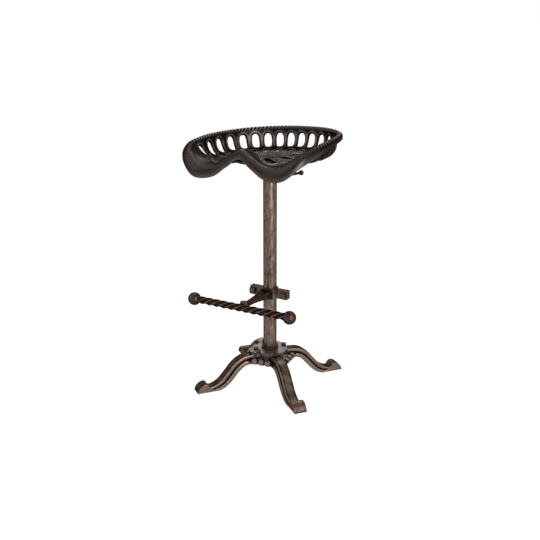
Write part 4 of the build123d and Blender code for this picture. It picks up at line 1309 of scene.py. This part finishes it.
@dataclass
class Footrest:
    """The twisted bar with its two balls."""

    forward: float = 181.0
    height: float = 309.7
    side: float = 18.4
    corner: float = 12.15   # reach of the rounded corners
    lead: float = 103.0     # length of one full twist
    half: float = 148.4
    ball: float = 20.1
    ball_at: float = 164.2
    flat: float = 15.8      # from the ball's middle to its flat
    rows: int = 400
    columns: int = 48

    def bar(self) -> None:
        """Makes the twisted square bar."""
        turn, half = ring_angles(self.columns), self.side / 2
        radius = np.minimum(half / np.maximum(np.abs(np.cos(turn)), np.abs(np.sin(turn))), self.corner)
        radius = (np.roll(radius, 1) + 2 * radius + np.roll(radius, -1)) / 4
        along = np.linspace(-self.half, self.half, self.rows)
        angle = turn[None, :] + (-2 * math.pi * along / self.lead)[:, None]
        rows = np.stack([np.broadcast_to(along[:, None], angle.shape),
                         radius[None, :] * np.cos(angle) - self.forward,
                         radius[None, :] * np.sin(angle) + self.height], axis=-1)
        # painted highlight and wear: the twist's corners lighter, partly rubbed metal and partly standing in for
        # the gloss on the ridges
        wear = np.broadcast_to(fade(radius - half, 1.9, 2.7), angle.shape)
        shell = Shell()
        shell.grid(rows, caps=True, wear=wear)
        shell.build("footrest_twisted_bar", Finish.BAR, "footrest", "bar_steel", ["footrest_bar"])

    def end_ball(self, name: str, side: int) -> None:
        """Makes one ball with the flat that meets the bar.

        Args:
            name: The CAD node that it stands for.
            side: 1 for the end towards +X, and -1 for the other.
        """
        stop = math.acos(-self.flat / self.ball)
        profile = [(0.01, self.ball)]
        profile += [(self.ball * math.sin(a), self.ball * math.cos(a)) for a in np.linspace(0.03, stop, 40)]
        profile += [(0.01, -self.flat)]
        shell = Shell()
        shell.grid(revolved(profile, 72)[:, ::-1], caps=True, wear=0.05)
        shell.place(Matrix.Translation((side * self.ball_at, -self.forward, self.height))
                    @ turned("Y", side * 90))
        shell.build(name + "_turned", Finish.FOOTREST, "footrest", "footrest_iron", [name])

    def build(self) -> None:
        """Makes the bar and its balls."""
        self.bar()
        self.end_ball("bar_ball_left", -1)
        self.end_ball("bar_ball_right", 1)


# ---------------------------------------------------------------- carried-over CAD nodes
@dataclass
class CarriedNodes:
    """CAD nodes whose shape stays, with softened edges and their own finish."""

    bevel_mm: float = 0.8
    bevel_degrees: float = 32.0     # an edge sharper than this is softened

    def build(self, frame: dict[str, Any]) -> None:
        """Gives every shown CAD node its finish.
        """
        finish_of_slot = {
            "seat_iron": Finish.SEAT, "base_iron": Finish.BASE, "column_pipe": Finish.PIPE,
            "footrest_iron": Finish.FOOTREST, "bar_steel": Finish.BAR, "dark_fasteners": Finish.FASTENER,
            "collar_iron": Finish.FASTENER, "post_steel": Finish.POST, "bearing_brass": Finish.BRASS,
            "bush_plastic": Finish.NYLON}
        slots = {s["node"]: s["material_slot"] for s in frame["record"]["subparts"]}
        for name, node in frame["nodes"].items():
            finish = Finish.PLATE if name == "hub_plate" else finish_of_slot[slots[name]]
            node.data.materials.clear()
            node.data.materials.append(finish.material())
            if node.hide_render:
                continue
            bevel = node.modifiers.new("edges", "BEVEL")
            bevel.width = self.bevel_mm * MM
            bevel.segments = 3
            bevel.limit_method = "ANGLE"
            bevel.angle_limit = math.radians(self.bevel_degrees)
            bevel.use_clamp_overlap = True
            node.data.shade_smooth()
            LOG.info("%s keeps its CAD shape", name)


# ---------------------------------------------------------------- studio
@dataclass
class Studio:
    """Floor, light and camera."""

    azimuth: float = 29.0
    elevation: float = 18.363
    distance: float = 2.5946
    focal_px: float = 828.24
    frame_px: int = 540
    target_height: float = 0.376    # the height that the camera looks at
    lamp_target: float = 0.45       # the height that the lamps face
    floor_half: float = 60.0
    glow: float = 1.22              # of the floor, as the camera sees it
    daylight: float = 0.25          # of the world, on the stool; the camera sees it at 1
    # name, place, width and height, and power in watts
    lamps: tuple[tuple[str, tuple[float, ...], tuple[float, float], float], ...] = (
        ("key_lamp", (2.3, -1.45, 1.15), (0.6, 2.1), 66.0),
        ("fill_lamp", (-2.2, -1.5, 1.5), (1.4, 1.4), 8.0),
        ("top_lamp", (-0.7, 1.6, 2.7), (1.4, 1.4), 44.0))

    def floor(self) -> None:
        """Makes the pale floor, white to the camera and still shaded under the stool."""
        mesh, d = bpy.data.meshes.new("studio_floor"), self.floor_half
        mesh.from_pydata([(-d, -d, 0), (d, -d, 0), (d, d, 0), (-d, d, 0)], [], [(0, 1, 2, 3)])
        plane = new_object("studio_floor", mesh)
        material = bpy.data.materials.new("matt_white_paper")
        material.use_nodes = True
        tree = material.node_tree
        tree.nodes.remove(tree.nodes["Principled BSDF"])
        matt = add_node(tree, "BsdfDiffuse", {"Color": grey(0.8)})
        glow = add_node(tree, "Emission", {"Color": grey(1.0), "Strength": self.glow})
        mixed = add_node(tree, "MixShader", (self.seen(tree, 0.8), matt, glow))
        tree.links.new(output_of(mixed), tree.nodes["Material Output"].inputs["Surface"])
        mesh.materials.append(material)

    @staticmethod
    def seen(tree: bpy.types.NodeTree, share: float) -> bpy.types.Node:
        """Adds a mask of where the camera, gloss or glass looks.

        Args:
            tree: The node tree that takes it.
            share: Its value there; it is 0 elsewhere.

        Returns:
            The last node of the mask.
        """
        path = add_node(tree, "LightPath").outputs
        shiny = add_node(tree, "Math", (path["Is Glossy Ray"], path["Is Transmission Ray"]), operation="MAXIMUM")
        any_of = add_node(tree, "Math", (path["Is Camera Ray"], shiny), operation="MAXIMUM")
        return add_node(tree, "Math", (any_of, share), operation="MULTIPLY")

    def world(self) -> None:
        """Makes the white surroundings, softer for the light that falls on the stool."""
        world = bpy.data.worlds.new("studio")
        bpy.context.scene.world = world
        world.use_nodes = True
        tree = world.node_tree
        tree.nodes.clear()
        soft, white = (add_node(tree, "Background", {"Color": grey(1.0), "Strength": strength})
                       for strength in (self.daylight, 1.0))
        mixed = add_node(tree, "MixShader", (self.seen(tree, 1.0), soft, white))
        add_node(tree, "OutputWorld", {"Surface": mixed})

    @staticmethod
    def aimed(name: str, data: bpy.types.ID, place: Vector, aim: Vector) -> bpy.types.Object:
        """Places a lamp or camera.

        Args:
            name: Its name.
            data: The light or camera.
            place: Where it stands.
            aim: The direction that it faces.

        Returns:
            The object.
        """
        holder = new_object(name, data)
        holder.location = place
        holder.rotation_mode = "QUATERNION"
        holder.rotation_quaternion = aim.to_track_quat("-Z", "Y")
        return holder

    def lamp(self, name: str, place: tuple[float, ...], size: tuple[float, float], power: float) -> None:
        """Makes one soft lamp that faces the stool.

        Args:
            name: Its name.
            place: Where it stands.
            size: Its width and height.
            power: Its power in watts.
        """
        light = bpy.data.lights.new(name, "AREA")
        light.shape = "RECTANGLE"
        light.size, light.size_y = size
        light.energy = power
        self.aimed(name, light, Vector(place), Vector((0, 0, self.lamp_target)) - Vector(place))

    def camera(self) -> None:
        """Makes the camera."""
        lens = bpy.data.cameras.new("camera")
        lens.sensor_width = 36.0
        lens.lens = self.focal_px / self.frame_px * lens.sensor_width
        a, e = math.radians(self.azimuth), math.radians(self.elevation)
        back = Vector((math.sin(a) * math.cos(e), -math.cos(a) * math.cos(e), math.sin(e)))
        place = Vector((0, 0, self.target_height)) + back * self.distance
        bpy.context.scene.camera = self.aimed("camera", lens, place, -back)

    def build(self) -> None:
        """Makes the studio."""
        self.floor()
        self.world()
        for lamp in self.lamps:
            self.lamp(*lamp)
        self.camera()
        bpy.context.scene.view_settings.view_transform = "Standard"
        LOG.info("studio is ready")


def main() -> None:
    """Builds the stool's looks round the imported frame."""
    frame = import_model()
    for part in (Studio(), SeatPan(), PaintedShadeTray(), Base(), Column(), Footrest()):
        part.build()
    CarriedNodes().build(frame)


if __name__ == "__main__":
    logging.basicConfig(level=logging.INFO)
    main()
